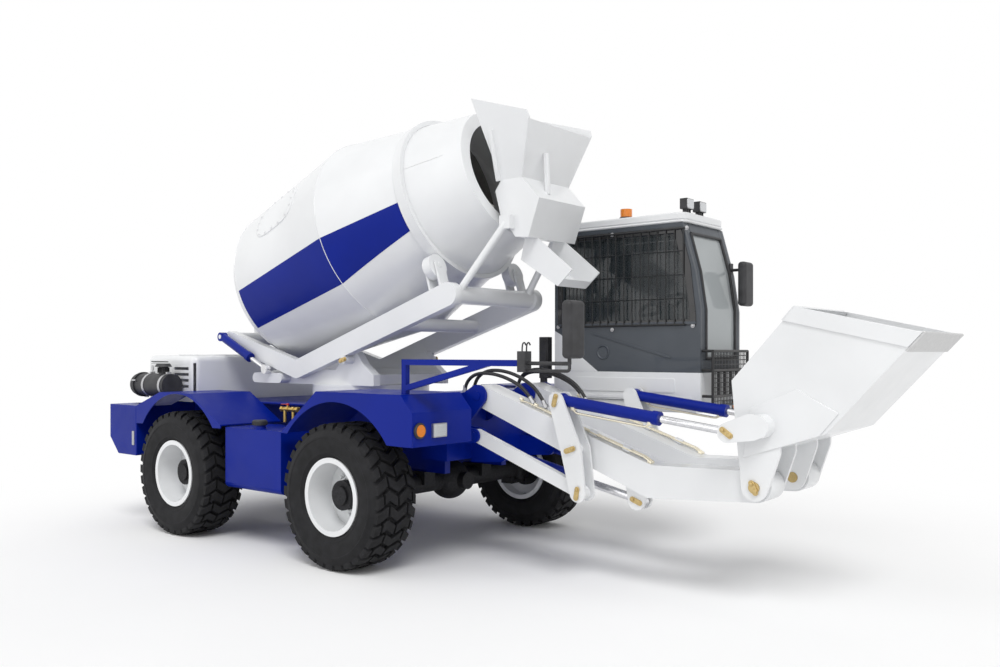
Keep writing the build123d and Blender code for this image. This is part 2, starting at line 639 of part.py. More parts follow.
# Loader
def loader_arms():
    slot = (LIFT_Y - 32, LIFT_Y + 32)
    rear_half = bar(ARM_PIVOT, ARM_ROOT_R, ELBOW, ARM_ELBOW_R)
    outline = rear_half + bar(ELBOW, ARM_ELBOW_R, BUCKET_PIVOT, ARM_TIP_R)
    outline = outline - disc(ARM_PIVOT, PIN_R + PIN_CLEAR) - disc(BUCKET_PIVOT, PIN_R + PIN_CLEAR)
    lug = bar(LIFT_EYE, 62, (LIFT_EYE[0] + 10, LIFT_EYE[1] + 150), 100)
    pocket = bar((LIFT_EYE[0] - 260, LIFT_EYE[1] - 10), 110, (LIFT_EYE[0] + 10, LIFT_EYE[1] + 95), 102)
    body = None
    for side in (-1, 1):
        arm = plate(outline, *sorted((side * ARM_Y0, side * ARM_Y1)))
        for faces in ((slot[0] - 22, slot[0]), (slot[1], slot[1] + 22)):
            arm += plate(lug, *sorted((side * faces[0], side * faces[1])))
        arm -= plate(pocket, *sorted((side * slot[0], side * slot[1])))
        arm += pin(LEVER_PIVOT, PIN_R, *sorted((side * ARM_Y1, side * (LEVER_OUT_Y + LEVER_T + 8))))
        body = arm if body is None else body + arm
    brace = (ARM_PIVOT[0] + 420, ARM_PIVOT[1] - 420 * 0.357)
    return body + pin(brace, 70, -ARM_Y0, ARM_Y0)


def arm_levers():
    outline = bar(LEVER_LOW, 62, LEVER_PIVOT, 82) + bar(LEVER_PIVOT, 82, LEVER_TOP, 58)
    outline = outline - disc(LEVER_PIVOT, PIN_R + PIN_CLEAR)
    levers = None
    for side in (-1, 1):
        for y in (LEVER_IN_Y, LEVER_OUT_Y):
            cheek = plate(outline, *sorted((side * y, side * (y + LEVER_T))))
            levers = cheek if levers is None else levers + cheek
        for centre in (LEVER_LOW, LEVER_TOP):
            levers += pin(centre, PIN_R - 8, *sorted((side * LEVER_IN_Y,
                                                      side * (LEVER_OUT_Y + LEVER_T + 6))))
    return levers


def lower_links():
    bore = PIN_R - 8 + PIN_CLEAR
    outline = bar(LINK_REAR, 46, LEVER_LOW, 46) - disc(LINK_REAR, bore) - disc(LEVER_LOW, bore)
    return both_sides(plate(outline, TILT_Y - 25, TILT_Y + 25))


def bucket_pins():
    return both_sides(pin(BUCKET_PIVOT, PIN_R, ARM_Y0 - 40, BUCKET_HALF + 10))


def bucket():
    d, n = FLOOR_DIR, (-FLOOR_DIR[1], FLOOR_DIR[0])
    back_low = (BUCKET_PIVOT[0] - 100, BUCKET_PIVOT[1] + 164)
    back_bend = (BUCKET_PIVOT[0] - 145, BUCKET_PIVOT[1] + 640)
    top = (back_bend[0] + 590 * d[0], back_bend[1] + 590 * d[1])
    side = poly(back_low, HEEL, LIP, top, back_bend)
    t = BUCKET_T
    inner = poly((back_low[0] + t, back_low[1] + t * 1.2), (HEEL[0] + t * n[0], HEEL[1] + t * n[1]),
                 (LIP[0] + t * n[0] + 40 * d[0], LIP[1] + t * n[1] + 40 * d[1]),
                 (top[0] - t * n[0] + 60 * d[0], top[1] - t * n[1] + 60 * d[1]),
                 (back_bend[0] + t, back_bend[1] - t * 0.4))
    body = plate(side, -BUCKET_HALF, BUCKET_HALF) - plate(inner, -BUCKET_HALF + t, BUCKET_HALF - t)
    lug = bar(BUCKET_PIVOT, 84, (BUCKET_PIVOT[0] + 30, BUCKET_PIVOT[1] + 230), 130)
    lug = lug - disc(BUCKET_PIVOT, PIN_R + PIN_CLEAR) - side
    clevis = bar(TILT_EYE, 60, (TILT_EYE[0] + 150, TILT_EYE[1] + 40), 80)
    for s in (-1, 1):
        for faces in ((ARM_Y0 - 35, ARM_Y0 - 10), (BUCKET_HALF - t, BUCKET_HALF)):
            body += plate(lug, *sorted((s * faces[0], s * faces[1])))
        body += plate(clevis, *sorted((s * (TILT_Y + 42), s * (TILT_Y + 60))))
        body += plate(disc((TILT_EYE[0] + 190, TILT_EYE[1] + 45), 70),
                      *sorted((s * (BUCKET_HALF - 2), s * (TILT_Y + 60))))
    return body


# Cab
def cab_outline(inset=0.0):
    x0, x1, z0, z1 = CAB_X0 + inset, CAB_X1 - inset, CAB_Z0 + inset, CAB_Z1 - inset
    return poly((x0, z0), (x1, z0), (x1, FRONT_SILL_Z), (x1 - CAB_RAKE, z1), (x0, z1))


def side_window():
    p = CAB_PILLAR
    return poly((CAB_X0 + p, CAB_SILL_Z), (CAB_X1 - p - 20, CAB_SILL_Z),
                (CAB_X1 - CAB_RAKE - p, CAB_HEAD_Z), (CAB_X0 + p, CAB_HEAD_Z))


def front_slope(depth, z):
    """X of the raked front wall at height z, depth behind its outer face."""
    return CAB_X1 - CAB_RAKE * (z - FRONT_SILL_Z) / (CAB_Z1 - FRONT_SILL_Z) - depth


def door_outline(grow=0.0):
    x0, x1 = DOOR_X0 - grow, DOOR_X1 + grow
    return poly((x0, DOOR_Z0 - grow), (x1, DOOR_Z0 - grow), (x1 - 40, DOOR_Z1 + grow), (x0, DOOR_Z1 + grow))


def door_window():
    e = DOOR_FRAME
    return poly((DOOR_X0 + e, CAB_Z0 + 480), (DOOR_X1 - e - 12, CAB_Z0 + 480),
                (DOOR_X1 - e - 38, DOOR_Z1 - e), (DOOR_X0 + e, DOOR_Z1 - e))


def cab_shell():
    w, p = CAB_WALL, CAB_PILLAR
    shell = plate(cab_outline(), CAB_Y0, CAB_Y1) - plate(cab_outline(w), CAB_Y0 + w, CAB_Y1 - w)
    shell -= plate(side_window(), CAB_Y0 - 1, CAB_Y0 + w + 1)
    shell -= block(CAB_X1 - CAB_RAKE - w - 60, CAB_X1 + 1, CAB_Y0 + p, CAB_Y1 - p, FRONT_SILL_Z + 10,
                   CAB_HEAD_Z)
    shell -= block(CAB_X0 - 1, CAB_X0 + w + 1, CAB_Y0 + p, CAB_Y1 - p, CAB_SILL_Z, CAB_HEAD_Z)
    return shell - plate(door_outline(DOOR_GAP), CAB_Y1 - w - 1, CAB_Y1 + 1)


def cab_glass():
    w, p, g = CAB_WALL, CAB_PILLAR, GLASS_T
    z0, z1 = FRONT_SILL_Z + 10, CAB_HEAD_Z
    side = plate(side_window(), CAB_Y0 + w / 2 - g, CAB_Y0 + w / 2)
    rear = block(CAB_X0 + w / 2 - g, CAB_X0 + w / 2, CAB_Y0 + p, CAB_Y1 - p, CAB_SILL_Z, z1)
    slab = poly((front_slope(20 + g, z0), z0), (front_slope(20, z0), z0), (front_slope(20, z1), z1),
                (front_slope(20 + g, z1), z1))
    return Compound(children=[side, rear, plate(slab, CAB_Y0 + p, CAB_Y1 - p)])


def cab_roof():
    slab = block(CAB_X0 - 20, CAB_X1 - CAB_RAKE + 90, CAB_Y0, CAB_Y1, CAB_Z1, CAB_Z1 + ROOF_T)
    slab = fillet(slab.edges().filter_by(Axis.Z), 60)
    return fillet(slab.faces().sort_by(Axis.Z)[-1].edges(), 45)


def cab_plinth():
    """Platform under the cab, carried by the nose."""
    shelf = block(CAB_X0 - 15, CAB_X1 - 40, CAB_Y0 + 10, CAB_Y1 - 10, DECK_Z, CAB_Z0)
    return shelf + block(NOSE_X1, CAB_X0 + 50, DECK_HALF - 70, DECK_HALF, DECK_Z - 30, CAB_Z0)


def cab_door():
    """Left door with two hinge barrels outside its rear edge."""
    door = plate(door_outline(), CAB_Y1 - CAB_WALL, CAB_Y1)
    door -= plate(door_window(), CAB_Y1 - CAB_WALL - 1, CAB_Y1 + 1)
    for z in (DOOR_Z0 + 150, DOOR_Z1 - 150):
        door += Pos(HINGE_X, HINGE_Y, z) * Cylinder(HINGE_R, HINGE_L)
        door += block(HINGE_X + DOOR_GAP / 2, HINGE_X + 70, CAB_Y1, HINGE_Y, z - HINGE_L / 2,
                      z + HINGE_L / 2)
    return door


def door_glass():
    middle = CAB_Y1 - CAB_WALL / 2
    return plate(door_window(), middle - GLASS_T / 2, middle + GLASS_T / 2)


def cab_seat():
    floor = CAB_Z0 + CAB_WALL
    y0, y1 = 730.0, 1170.0
    seat = block(900, 1250, y0 + 60, y1 - 60, floor, floor + 330)
    seat += block(830, 1330, y0, y1, floor + 330, floor + 450)
    return seat + plate(poly((830, floor + 450), (960, floor + 450), (880, floor + 1050),
                             (770, floor + 1050)), y0 + 20, y1 - 20)


def steering_column():
    floor = CAB_Z0 + CAB_WALL
    y = (CAB_Y0 + CAB_Y1) / 2
    top = (1500.0, floor + 690)
    post = plate(bar((1720, floor + 60), 60, top, 40), y - 45, y + 45)
    post += block(1660, 1780, y - 130, y + 130, floor, floor + 120)
    wheel = Plane(origin=(top[0] - 25, y, top[1] + 30), x_dir=(0, 1, 0), z_dir=(-0.42, 0, 0.9)).location
    rim = wheel * Torus(190, 16)
    spokes = wheel * (Box(370, 40, 14) + Cylinder(50, 40))
    return post + rim + spokes


def cab_guard():
    """Wire guard over the right window: upright wires between two rails on stand-offs."""
    y = CAB_Y0 - 12
    x0, x1 = CAB_X0 + 70, CAB_X1 - 120
    z0, z1 = CAB_SILL_Z - 40, CAB_HEAD_Z + 30
    guard = None
    for z in (z0, z1):
        rail = tube_between((x0, y, z), (x1, y, z), 8)
        guard = rail if guard is None else guard + rail
        for x in (x0 + 15, x1 - 15):
            guard += tube_between((x, y, z), (x, CAB_Y0, z), 6)
    wires = 16
    for i in range(wires):
        x = x0 + 15 + (x1 - x0 - 30) * i / (wires - 1)
        guard += tube_between((x, y, z0), (x, y, z1), 5)
    return guard


def front_guard():
    """Tube basket across the front of the cab."""
    x = CAB_X1 + 85
    y0, y1 = CAB_Y0 + 30, CAB_Y1 - 40
    basket = None
    for z in (CAB_Z0 + 45, CAB_Z0 + 240):
        for a, b in (((CAB_X1, y0, z), (x, y0, z)), ((x, y0, z), (x, y1, z)),
                     ((x, y1, z), (CAB_X1, y1, z))):
            tube = tube_between(a, b, 11)
            basket = tube if basket is None else basket + tube
    bars = 7
    for i in range(bars):
        y = y0 + (y1 - y0) * i / (bars - 1)
        basket += tube_between((x, y, CAB_Z0 + 36), (x, y, CAB_Z0 + 249), 8)
    return basket


def lamps():
    """Front, tail, roof and beacon lamps, each seated on its panel."""
    t = LAMP_T
    pieces = [
        Pos(NOSE_FACE_X + t / 2, -1180, 1056) * (Rot(0, 90, 0) * Cylinder(42, t)),
        block(NOSE_FACE_X, NOSE_FACE_X + t, -1050, -930, 1010, 1090),
        Pos(CAB_X1 - 40 + t / 2, 1230, 1172) * (Rot(0, 90, 0) * Cylinder(34, t)),
        block(CAB_X1 - 40, CAB_X1 - 40 + t, 1060, 1170, 1140, 1205),
        Pos(1250, 760, CAB_Z1 + ROOF_T + 45) * Cylinder(48, 90),
    ]
    for side in (-1, 1):
        y0, y1 = sorted((side * 1100, side * 1230))
        pieces.append(block(BUMPER_X0 - t, BUMPER_X0, y0, y1, 950, 1060))
    for y in (690, 900):
        z = CAB_Z1 + ROOF_T
        lamp = block(1800, 1860, y - 55, y + 55, z + 25, z + 105)
        pieces.append(lamp + block(1815, 1845, y - 12, y + 12, z, z + 30))
    return Compound(children=pieces)


def handrail():
    r = RAIL_TUBE / 2
    y0, y1 = RAIL_SIDE - r, RAIL_SIDE + r
    rail = block(RAIL_X0 - r, RAIL_X0 + r, y0, y1, FRONT_FENDER_Z, RAIL_TOP + r)
    rail += block(RAIL_X0 - r, RAIL_X1, y0, y1, RAIL_TOP - r, RAIL_TOP + r)
    return rail + plate(bar((RAIL_X0, FRONT_FENDER_Z + 40), r - 1, (RAIL_X1 - 250, RAIL_TOP), r - 1),
                        y0, y1)


def mirrors():
    """Right mirror on the rail's end, left mirror on the front pillar of the cab."""
    right = tube_between((RAIL_X1, RAIL_SIDE, RAIL_TOP), (RAIL_X1 + 370, RAIL_SIDE, RAIL_TOP), MIRROR_R)
    right += Pos(RAIL_X1 + 370, RAIL_SIDE, RAIL_TOP) * Sphere(MIRROR_R)
    right += tube_between((RAIL_X1 + 370, RAIL_SIDE, RAIL_TOP),
                          (RAIL_X1 + 370, RAIL_SIDE, RAIL_TOP + 60), MIRROR_R)
    head = fillet(Box(70, 170, 350).edges(), 28)
    right += Pos(RAIL_X1 + 370, RAIL_SIDE + 40, RAIL_TOP + 205) * head
    y, z = CAB_Y1 - 45, 2250.0
    left = tube_between((front_slope(0, z) - 5, y, z), (front_slope(0, z) + 130, y, z), MIRROR_R)
    left -= plate(cab_outline(), CAB_Y0, CAB_Y1)
    left += Pos(front_slope(0, z) + 130, y - 40, z - 120) * head
    return Compound(children=[right, left])


def build():
    wheels()
    cylinders()
    for end, x in (("front", 0.0), ("rear", -WHEELBASE)):
        NODES[f"{end}_axle"] = axle(x)
    for hand, side in (("right", -1), ("left", 1)):
        NODES[f"front_fender_{hand}"] = front_fender(side)
        NODES[f"rear_fender_{hand}"] = rear_fender(side)
    makers = (chassis_frame, deck, nose_frame, rear_bumper, side_tanks, engine_hood, engine_block,
              air_cleaner, turntable_base, slew_platform, drum_cradle, drum, drum_rollers, drum_gearbox,
              hopper, loader_arms, arm_levers, lower_links, bucket_pins, bucket,
              cab_shell, cab_glass, cab_roof, cab_plinth, cab_door, door_glass, cab_seat, steering_column,
              cab_guard, front_guard, lamps, handrail, mirrors)
    for maker in makers:
        NODES[maker.__name__] = maker()


build()
os.makedirs("parts", exist_ok=True)
for name, shape in NODES.items():
    export_step(Pos(-X_MIDDLE, 0, 0) * shape, f"parts/{name}.step")
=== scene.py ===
# Looks of a self-loading concrete mixer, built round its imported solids.
# Metres, in the part's own frame: X forward, Y to the machine's left, Z up from the ground.
import json
from math import copysign, cos, pi, radians, sin

import bmesh
import bpy
from mathutils import Matrix, Vector


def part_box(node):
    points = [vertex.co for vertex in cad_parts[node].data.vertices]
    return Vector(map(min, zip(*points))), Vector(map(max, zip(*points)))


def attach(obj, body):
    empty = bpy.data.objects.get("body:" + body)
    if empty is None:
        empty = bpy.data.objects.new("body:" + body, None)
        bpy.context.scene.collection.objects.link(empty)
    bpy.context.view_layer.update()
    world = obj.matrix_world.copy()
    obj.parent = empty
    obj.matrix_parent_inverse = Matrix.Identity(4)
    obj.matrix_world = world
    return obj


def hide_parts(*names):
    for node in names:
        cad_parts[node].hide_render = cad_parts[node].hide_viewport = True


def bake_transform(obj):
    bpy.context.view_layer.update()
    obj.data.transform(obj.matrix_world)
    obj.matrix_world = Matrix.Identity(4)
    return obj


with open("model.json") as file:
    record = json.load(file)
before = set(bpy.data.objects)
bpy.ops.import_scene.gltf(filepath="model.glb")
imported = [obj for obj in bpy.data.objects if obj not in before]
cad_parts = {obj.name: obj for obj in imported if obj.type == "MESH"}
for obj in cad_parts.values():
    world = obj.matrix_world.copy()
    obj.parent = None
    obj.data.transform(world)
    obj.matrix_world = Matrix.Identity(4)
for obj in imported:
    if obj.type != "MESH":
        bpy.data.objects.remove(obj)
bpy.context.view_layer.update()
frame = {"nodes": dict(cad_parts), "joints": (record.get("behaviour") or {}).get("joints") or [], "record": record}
NODES = frame["nodes"]
JOINTS = {joint["name"]: joint for joint in frame["joints"]}
CORNERS = ("front_right", "front_left", "rear_right", "rear_left")
SIDES = (-1, 1)


def pivot(joint):
    """Place of a joint, as the solids give it."""
    return Vector(JOINTS[joint]["pos_m"])


# Places that the solids give
FRONT_X = pivot("spin_front_right").x
DRUM_FROM = pivot("drum_spin")
DRUM_AXIS = Vector(JOINTS["drum_spin"]["axis"]).normalized()
DRUM_UP = Vector((-DRUM_AXIS.z, 0.0, DRUM_AXIS.x))
RIGHT = Vector((0.0, -1.0, 0.0))

# Camera of the photograph, found from its wheels and chassis lines; x counts from the front axle
CAMERA_PLACE = (5.136, -5.624, 1.590)
CAMERA_TURN = 39.22
CAMERA_LENS = 32.8
CAMERA_SHIFT = 0.0188

# Drum: radii and places along its axis from the widest seam
DRUM_R = 0.872
DRUM_REAR_R = 0.770
DRUM_REAR_S = -1.300
DRUM_MOUTH_R = 0.526
DRUM_MOUTH_S = 1.330
RING_S = 0.790

# Tyre: radii at the tread's top and base, half width of the tread, and the pattern's repeats
TYRE_TOP_R = 0.5375
TYRE_BASE_R = 0.508
TREAD_HALF = 0.182
TREAD_ROWS = 32
TREAD_FILL = 0.74
TREAD_WAVE = 0.0875
TREAD_SWING = 0.055
CUTS_ODD = (-0.0875, 0.0875)
CUTS_EVEN = (-0.135, 0.0, 0.135)
CUT_GAP = 0.009
SHOULDER_Y = 0.125


def at(x, y, z):
    """A point whose x counts forward from the front axle."""
    return Vector((FRONT_X + x, y, z))


def xz(x, z):
    """A step forward and up."""
    return Vector((x, 0.0, z))


def around(count):
    """Angles that share out one turn."""
    return [2 * pi * step / count for step in range(count)]


def round_about(radius, angle, along=0.0):
    """A point on a circle in X and Y, at a height along Z."""
    return Vector((radius * cos(angle), radius * sin(angle), along))


# Mesh helpers
def add_object(name, data):
    made = bpy.data.objects.new(name, data)
    bpy.context.scene.collection.objects.link(made)
    return made


def piece(name, shape, finish, body=None, bevel=0.0, crease=35.0):
    """Turns a bmesh into a named object, smooth up to the crease angle, carried by a body."""
    bmesh.ops.recalc_face_normals(shape, faces=shape.faces)
    mesh = bpy.data.meshes.new(name)
    shape.to_mesh(mesh)
    shape.free()
    mesh.shade_smooth()
    mesh.set_sharp_from_angle(angle=radians(crease))
    mesh.materials.append(finish)
    made = add_object(name, mesh)
    if bevel:
        soften(made, bevel)
    if body:
        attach(made, body)
    return made


def soften(made, width, segments=2):
    """Rounds an object's sharp edges."""
    rounding = made.modifiers.new("rounding", "BEVEL")
    rounding.width = width
    rounding.segments = segments
    rounding.limit_method = "ANGLE"
    rounding.angle_limit = radians(35)
    rounding.use_clamp_overlap = True


def facing(place, axis, up=(0.0, 0.0, 1.0)):
    """A matrix at place whose Z looks along axis and whose Y leans to up."""
    z = Vector(axis).normalized()
    x = Vector(up).cross(z)
    if x.length < 1e-6:
        x = Vector((1.0, 0.0, 0.0))
    x.normalize()
    y = z.cross(x)
    turn = Matrix((x, y, z)).transposed().to_4x4()
    return Matrix.Translation(place) @ turn


def box(shape, place, size, turn=None):
    """A box of that size about place, turned by a matrix of which only the rotation counts."""
    grow = Matrix.Diagonal((*size, 1.0))
    spin = turn.to_3x3().to_4x4() if turn else Matrix.Identity(4)
    bmesh.ops.create_cube(shape, size=1.0, matrix=Matrix.Translation(place) @ spin @ grow)


def span(shape, *ranges):
    """A box that fills a range of x, from the front axle, and ranges of y and z."""
    box(shape, at(*((low + high) / 2 for low, high in ranges)), [high - low for low, high in ranges])


def lathe(shape, profile, matrix, steps=48):
    """Turns (radius, along) points about the matrix's Z."""
    rings = []
    for radius, along in profile:
        if radius < 1e-6:
            rings.append([shape.verts.new(matrix @ Vector((0.0, 0.0, along)))])
            continue
        rings.append([shape.verts.new(matrix @ round_about(radius, turn, along)) for turn in around(steps)])
    for near, far in zip(rings, rings[1:]):
        for step in range(steps):
            after = (step + 1) % steps
            corners = [near[step % len(near)], near[after % len(near)]]
            corners += [far[after % len(far)], far[step % len(far)]]
            distinct = list(dict.fromkeys(corners))
            if len(distinct) > 2:
                shape.faces.new(distinct)


def rod(shape, start, end, radius, steps=16):
    run = Vector(end) - Vector(start)
    lathe(shape, ((0, 0), (radius, 0), (radius, run.length), (0, run.length)), facing(start, run), steps)


def hex_bolt(shape, matrix, across, height=None):
    """Washer and six-sided head standing on the matrix's plane."""
    tall = height or across * 0.45
    washer_r, washer_t = across * 0.85, across * 0.10
    head_r, top_r, top = across * 0.58, across * 0.50, tall * 1.08
    lathe(shape, ((0, 0), (washer_r, 0), (washer_r, washer_t), (0, washer_t)), matrix, 20)
    lathe(shape, ((0, washer_t), (head_r, washer_t), (head_r, tall), (top_r, top), (0, top)), matrix, 6)


def skin(shape, rings, ends=False, closed=True):
    """Faces between rings or open rows of as many corners, and over both ends if asked for."""
    count = len(rings[0])
    for near, far in zip(rings, rings[1:]):
        for a in range(count if closed else count - 1):
            b = (a + 1) % count
            shape.faces.new((near[a], near[b], far[b], far[a]))
    if ends:
        shape.faces.new(rings[0])
        shape.faces.new(rings[-1])


def prism(shape, outline, matrix, depth):
    """An outline in the matrix's X and Y, made solid along its Z."""
    rings = [[shape.verts.new(matrix @ Vector((x, y, z))) for x, y in outline] for z in (0.0, depth)]
    skin(shape, rings, True)


def ribs(shape, middle, count, radius, size):
    """Small upright ribs in a circle."""
    for turn in around(count):
        box(shape, middle + round_about(radius, turn), size, Matrix.Rotation(turn, 4, "Z"))


def rounded(width, height, radius, steps=6):
    """Outline of a rectangle with round corners about the origin."""
    points = []
    for turn, sx, sy in ((0, 1, 1), (90, -1, 1), (180, -1, -1), (270, 1, -1)):
        for step in range(steps + 1):
            angle = radians(turn + 90 * step / steps)
            points.append((sx * (width / 2 - radius) + radius * cos(angle),
                           sy * (height / 2 - radius) + radius * sin(angle)))
    return points


def sweep(shape, points, radius, sides=12):
    """A round tube along points, closed at both ends."""
    rings = []
    up = Vector((0.0, 1.0, 0.0))
    for index, point in enumerate(points):
        before = points[max(index - 1, 0)]
        after = points[min(index + 1, len(points) - 1)]
        matrix = facing(point, after - before, up)
        up = matrix.to_3x3() @ Vector((0.0, 1.0, 0.0))
        rings.append([shape.verts.new(matrix @ round_about(radius, turn)) for turn in around(sides)])
    skin(shape, rings, True)


def smooth_line(route, name):
    """Points along the smooth curve that has the route as its control points."""
    curve = bpy.data.curves.new(name, "CURVE")
    curve.dimensions = "3D"
    curve.resolution_u = 10
    spline = curve.splines.new("NURBS")
    spline.points.add(len(route) - 1)
    for control, place in zip(spline.points, route):
        control.co = (*place, 1.0)
    spline.order_u = 3
    spline.use_endpoint_u = True
    holder = add_object(name, curve)
    line = bpy.data.meshes.new_from_object(holder.evaluated_get(bpy.context.evaluated_depsgraph_get()))
    points = [vertex.co.copy() for vertex in line.vertices]
    bpy.data.objects.remove(holder)
    bpy.data.curves.remove(curve)
    bpy.data.meshes.remove(line)
    return points


# Materials
def fill(node, **values):
    """Sets a node's inputs, named with a low line for each space."""
    for name, value in values.items():
        node.inputs[name.replace("_", " ")].default_value = value


def material(name, colour, metallic=0.0, roughness=0.5, coat=0.0, shine=0.5):
    made = bpy.data.materials.new(name)
    made.use_nodes = True
    shader = made.node_tree.nodes["Principled BSDF"]
    fill(shader, Base_Color=(*colour[:3], 1.0), Metallic=metallic, Roughness=roughness, Coat_Weight=coat,
         Specular_IOR_Level=shine)
    return made, shader


def add_node(beside, kind, **values):
    """A new node in the tree of one that is there already."""
    made = beside.id_data.nodes.new(f"ShaderNode{kind}")
    fill(made, **values)
    return made


def join(source, target):
    source.id_data.links.new(source, target)


def noise(shader, scale, detail=4.0, stretch=(1.0, 1.0, 1.0)):
    coords = add_node(shader, "TexCoord")
    mapping = add_node(shader, "Mapping", Scale=stretch)
    texture = add_node(shader, "TexNoise", Scale=scale, Detail=detail)
    join(coords.outputs["Object"], mapping.inputs["Vector"])
    join(mapping.outputs["Vector"], texture.inputs["Vector"])
    return texture.outputs["Fac"]


def ramp(shader, field, value, stops):
    """Drives one input of the shader by value: two stops of (place, colour or grey)."""
    made = add_node(shader, "ValToRGB")
    for point, (place, colour) in zip(made.color_ramp.elements, stops):
        point.position = place
        point.color = (*colour, 1.0) if hasattr(colour, "__len__") else (colour, colour, colour, 1.0)
    join(value, made.inputs["Fac"])
    join(made.outputs["Color"], shader.inputs[field])


def bump(shader, height, strength, distance):
    made = add_node(shader, "Bump", Strength=strength, Distance=distance)
    join(height, made.inputs["Height"])
    join(made.outputs["Normal"], shader.inputs["Normal"])


def shade(colour, factor):
    return tuple(min(1.0, channel * factor) for channel in colour[:3])


def paint(name, colour, roughness=0.34, coat=0.35, dirt=0.93, shine=0.5):
    """Sprayed paint: faint tone changes, a trace of dust and orange peel."""
    made, shader = material(name, colour, 0.0, roughness, coat, shine)
    ramp(shader, "Base Color", noise(shader, 1.7, 6.0), ((0.30, shade(colour, dirt)), (0.62, colour)))
    ramp(shader, "Roughness", noise(shader, 9.0, 5.0), ((0.30, roughness + 0.10), (0.70, roughness - 0.04)))
    bump(shader, noise(shader, 260.0, 2.0), 0.06, 0.002)
    return made


def rubber(name, colour, grain=90.0, roughness=0.72, shine=0.5):
    """Rubber or moulded plastic: fine grain and paler scuffs."""
    made, shader = material(name, colour, 0.0, roughness, 0.0, shine)
    ramp(shader, "Base Color", noise(shader, 14.0, 8.0), ((0.35, colour), (0.75, shade(colour, 1.9))))
    bump(shader, noise(shader, grain), 0.22, 0.002)
    return made


def metal(name, colour, roughness, stretch=(1.0, 1.0, 1.0), scale=120.0):
    """Bare or plated metal with brushed or rough variation."""
    made, shader = material(name, colour, 1.0, roughness)
    grain = noise(shader, scale, 4.0, stretch)
    ramp(shader, "Base Color", grain, ((0.30, shade(colour, 0.82)), (0.70, colour)))
    ramp(shader, "Roughness", grain, ((0.30, roughness + 0.12), (0.70, roughness)))
    bump(shader, grain, 0.08, 0.001)
    return made


def glass(name, colour, alpha, roughness=0.03):
    """Sheet glass with a faint film of dust, coloured with painted light: near black for painted shade, pale grey
    for a painted reflection.
    """
    made, shader = material(name, colour, 0.0, roughness)
    ramp(shader, "Roughness", noise(shader, 4.0, 6.0), ((0.35, roughness), (0.80, roughness + 0.10)))
    fill(shader, Alpha=alpha, IOR=1.5)
    return made


def lens(name, colour):
    """Moulded lamp lens with fine prisms."""
    made, shader = material(name, colour, 0.0, 0.18, 0.6)
    prisms = add_node(shader, "TexWave", Scale=60.0)
    join(add_node(shader, "TexCoord").outputs["Object"], prisms.inputs["Vector"])
    ramp(shader, "Base Color", prisms.outputs["Fac"], ((0.0, shade(colour, 0.8)), (1.0, colour)))
    bump(shader, prisms.outputs["Fac"], 0.25, 0.002)
    return made


WHITE = paint("white_paint", (0.80, 0.81, 0.82))
BLUE = paint("blue_paint", (0.001, 0.014, 0.250), 0.32, 0.0, 0.85, 0.16)
SLATE = paint("slate_paint", (0.050, 0.060, 0.074), 0.42, 0.2, 0.85)
BLACK = paint("black_paint", (0.012, 0.012, 0.013), 0.45, 0.1, 0.8)
TYRE = rubber("tyre_rubber", (0.009, 0.009, 0.010), shine=0.25)
HOSE = rubber("hose_rubber", (0.010, 0.010, 0.011), 300.0, 0.5)
PLASTIC = rubber("black_plastic", (0.020, 0.020, 0.022), 220.0, 0.55)
VINYL = rubber("seat_vinyl", (0.018, 0.018, 0.020), 320.0, 0.6)
CAST = metal("cast_grey", (0.055, 0.055, 0.058), 0.65, scale=60.0)
CHROME = metal("chromed_rod", (0.78, 0.78, 0.80), 0.12, scale=40.0)
GOLD = metal("zinc_gold", (0.62, 0.47, 0.22), 0.38)
ZINC = metal("zinc_grey", (0.55, 0.55, 0.56), 0.40)
STEEL = metal("worn_steel", (0.42, 0.41, 0.39), 0.45, (1.0, 6.0, 1.0), 50.0)
# Two copies of the same glass: near black is painted shade of the cab's inside, pale grey is a painted reflection
# on the windscreen
GLASS_PAINTED_SHADE = glass("glass_painted_shade", (0.030, 0.038, 0.042), 0.62)
GLASS_PAINTED_REFLECTION = glass("clear_glass", (0.46, 0.49, 0.50), 0.72)
AMBER = lens("amber_lens", (0.85, 0.24, 0.01))
RED_LENS = lens("red_lens", (0.55, 0.01, 0.008))
CLEAR_LENS = lens("clear_lens", (0.72, 0.74, 0.76))
REFLECTOR = lens("grey_reflector", (0.40, 0.41, 0.42))
GLOSS_BLACK = paint("gloss_black", (0.008, 0.008, 0.009), 0.20, 0.4, 0.9)
RED = paint("red_paint", (0.45, 0.010, 0.008))
PIPE = metal("zinc_pipe", (0.84, 0.78, 0.62), 0.26)
BRASS = metal("brass", (0.62, 0.44, 0.14), 0.35)
EDGE = metal("edge_steel", (0.66, 0.66, 0.66), 0.50, (1.0, 6.0, 1.0), 50.0)

# The solids' clear glass takes the near black copy, painted shade of the cab's inside
BY_SLOT = {
    "white_paint": WHITE, "blue_paint": BLUE, "black_paint": BLACK, "slate_paint": SLATE, "tyre_rubber": TYRE,
    "clear_glass": GLASS_PAINTED_SHADE, "seat_vinyl": VINYL, "black_plastic": PLASTIC, "lamp_lens": AMBER,
    "steel_rod": CHROME, "pin_steel": GOLD, "cast_grey": CAST,
}
for subpart in frame["record"]["subparts"]:
    mesh = NODES[subpart["node"]].data
    mesh.materials.clear()
    mesh.materials.append(BY_SLOT[subpart["material_slot"]])


# Wheels, made about their own centre with the axle along Y and the outer side at +Y
def tread_place(radius, turn, y):
    return Vector((radius * sin(turn), y, radius * cos(turn)))


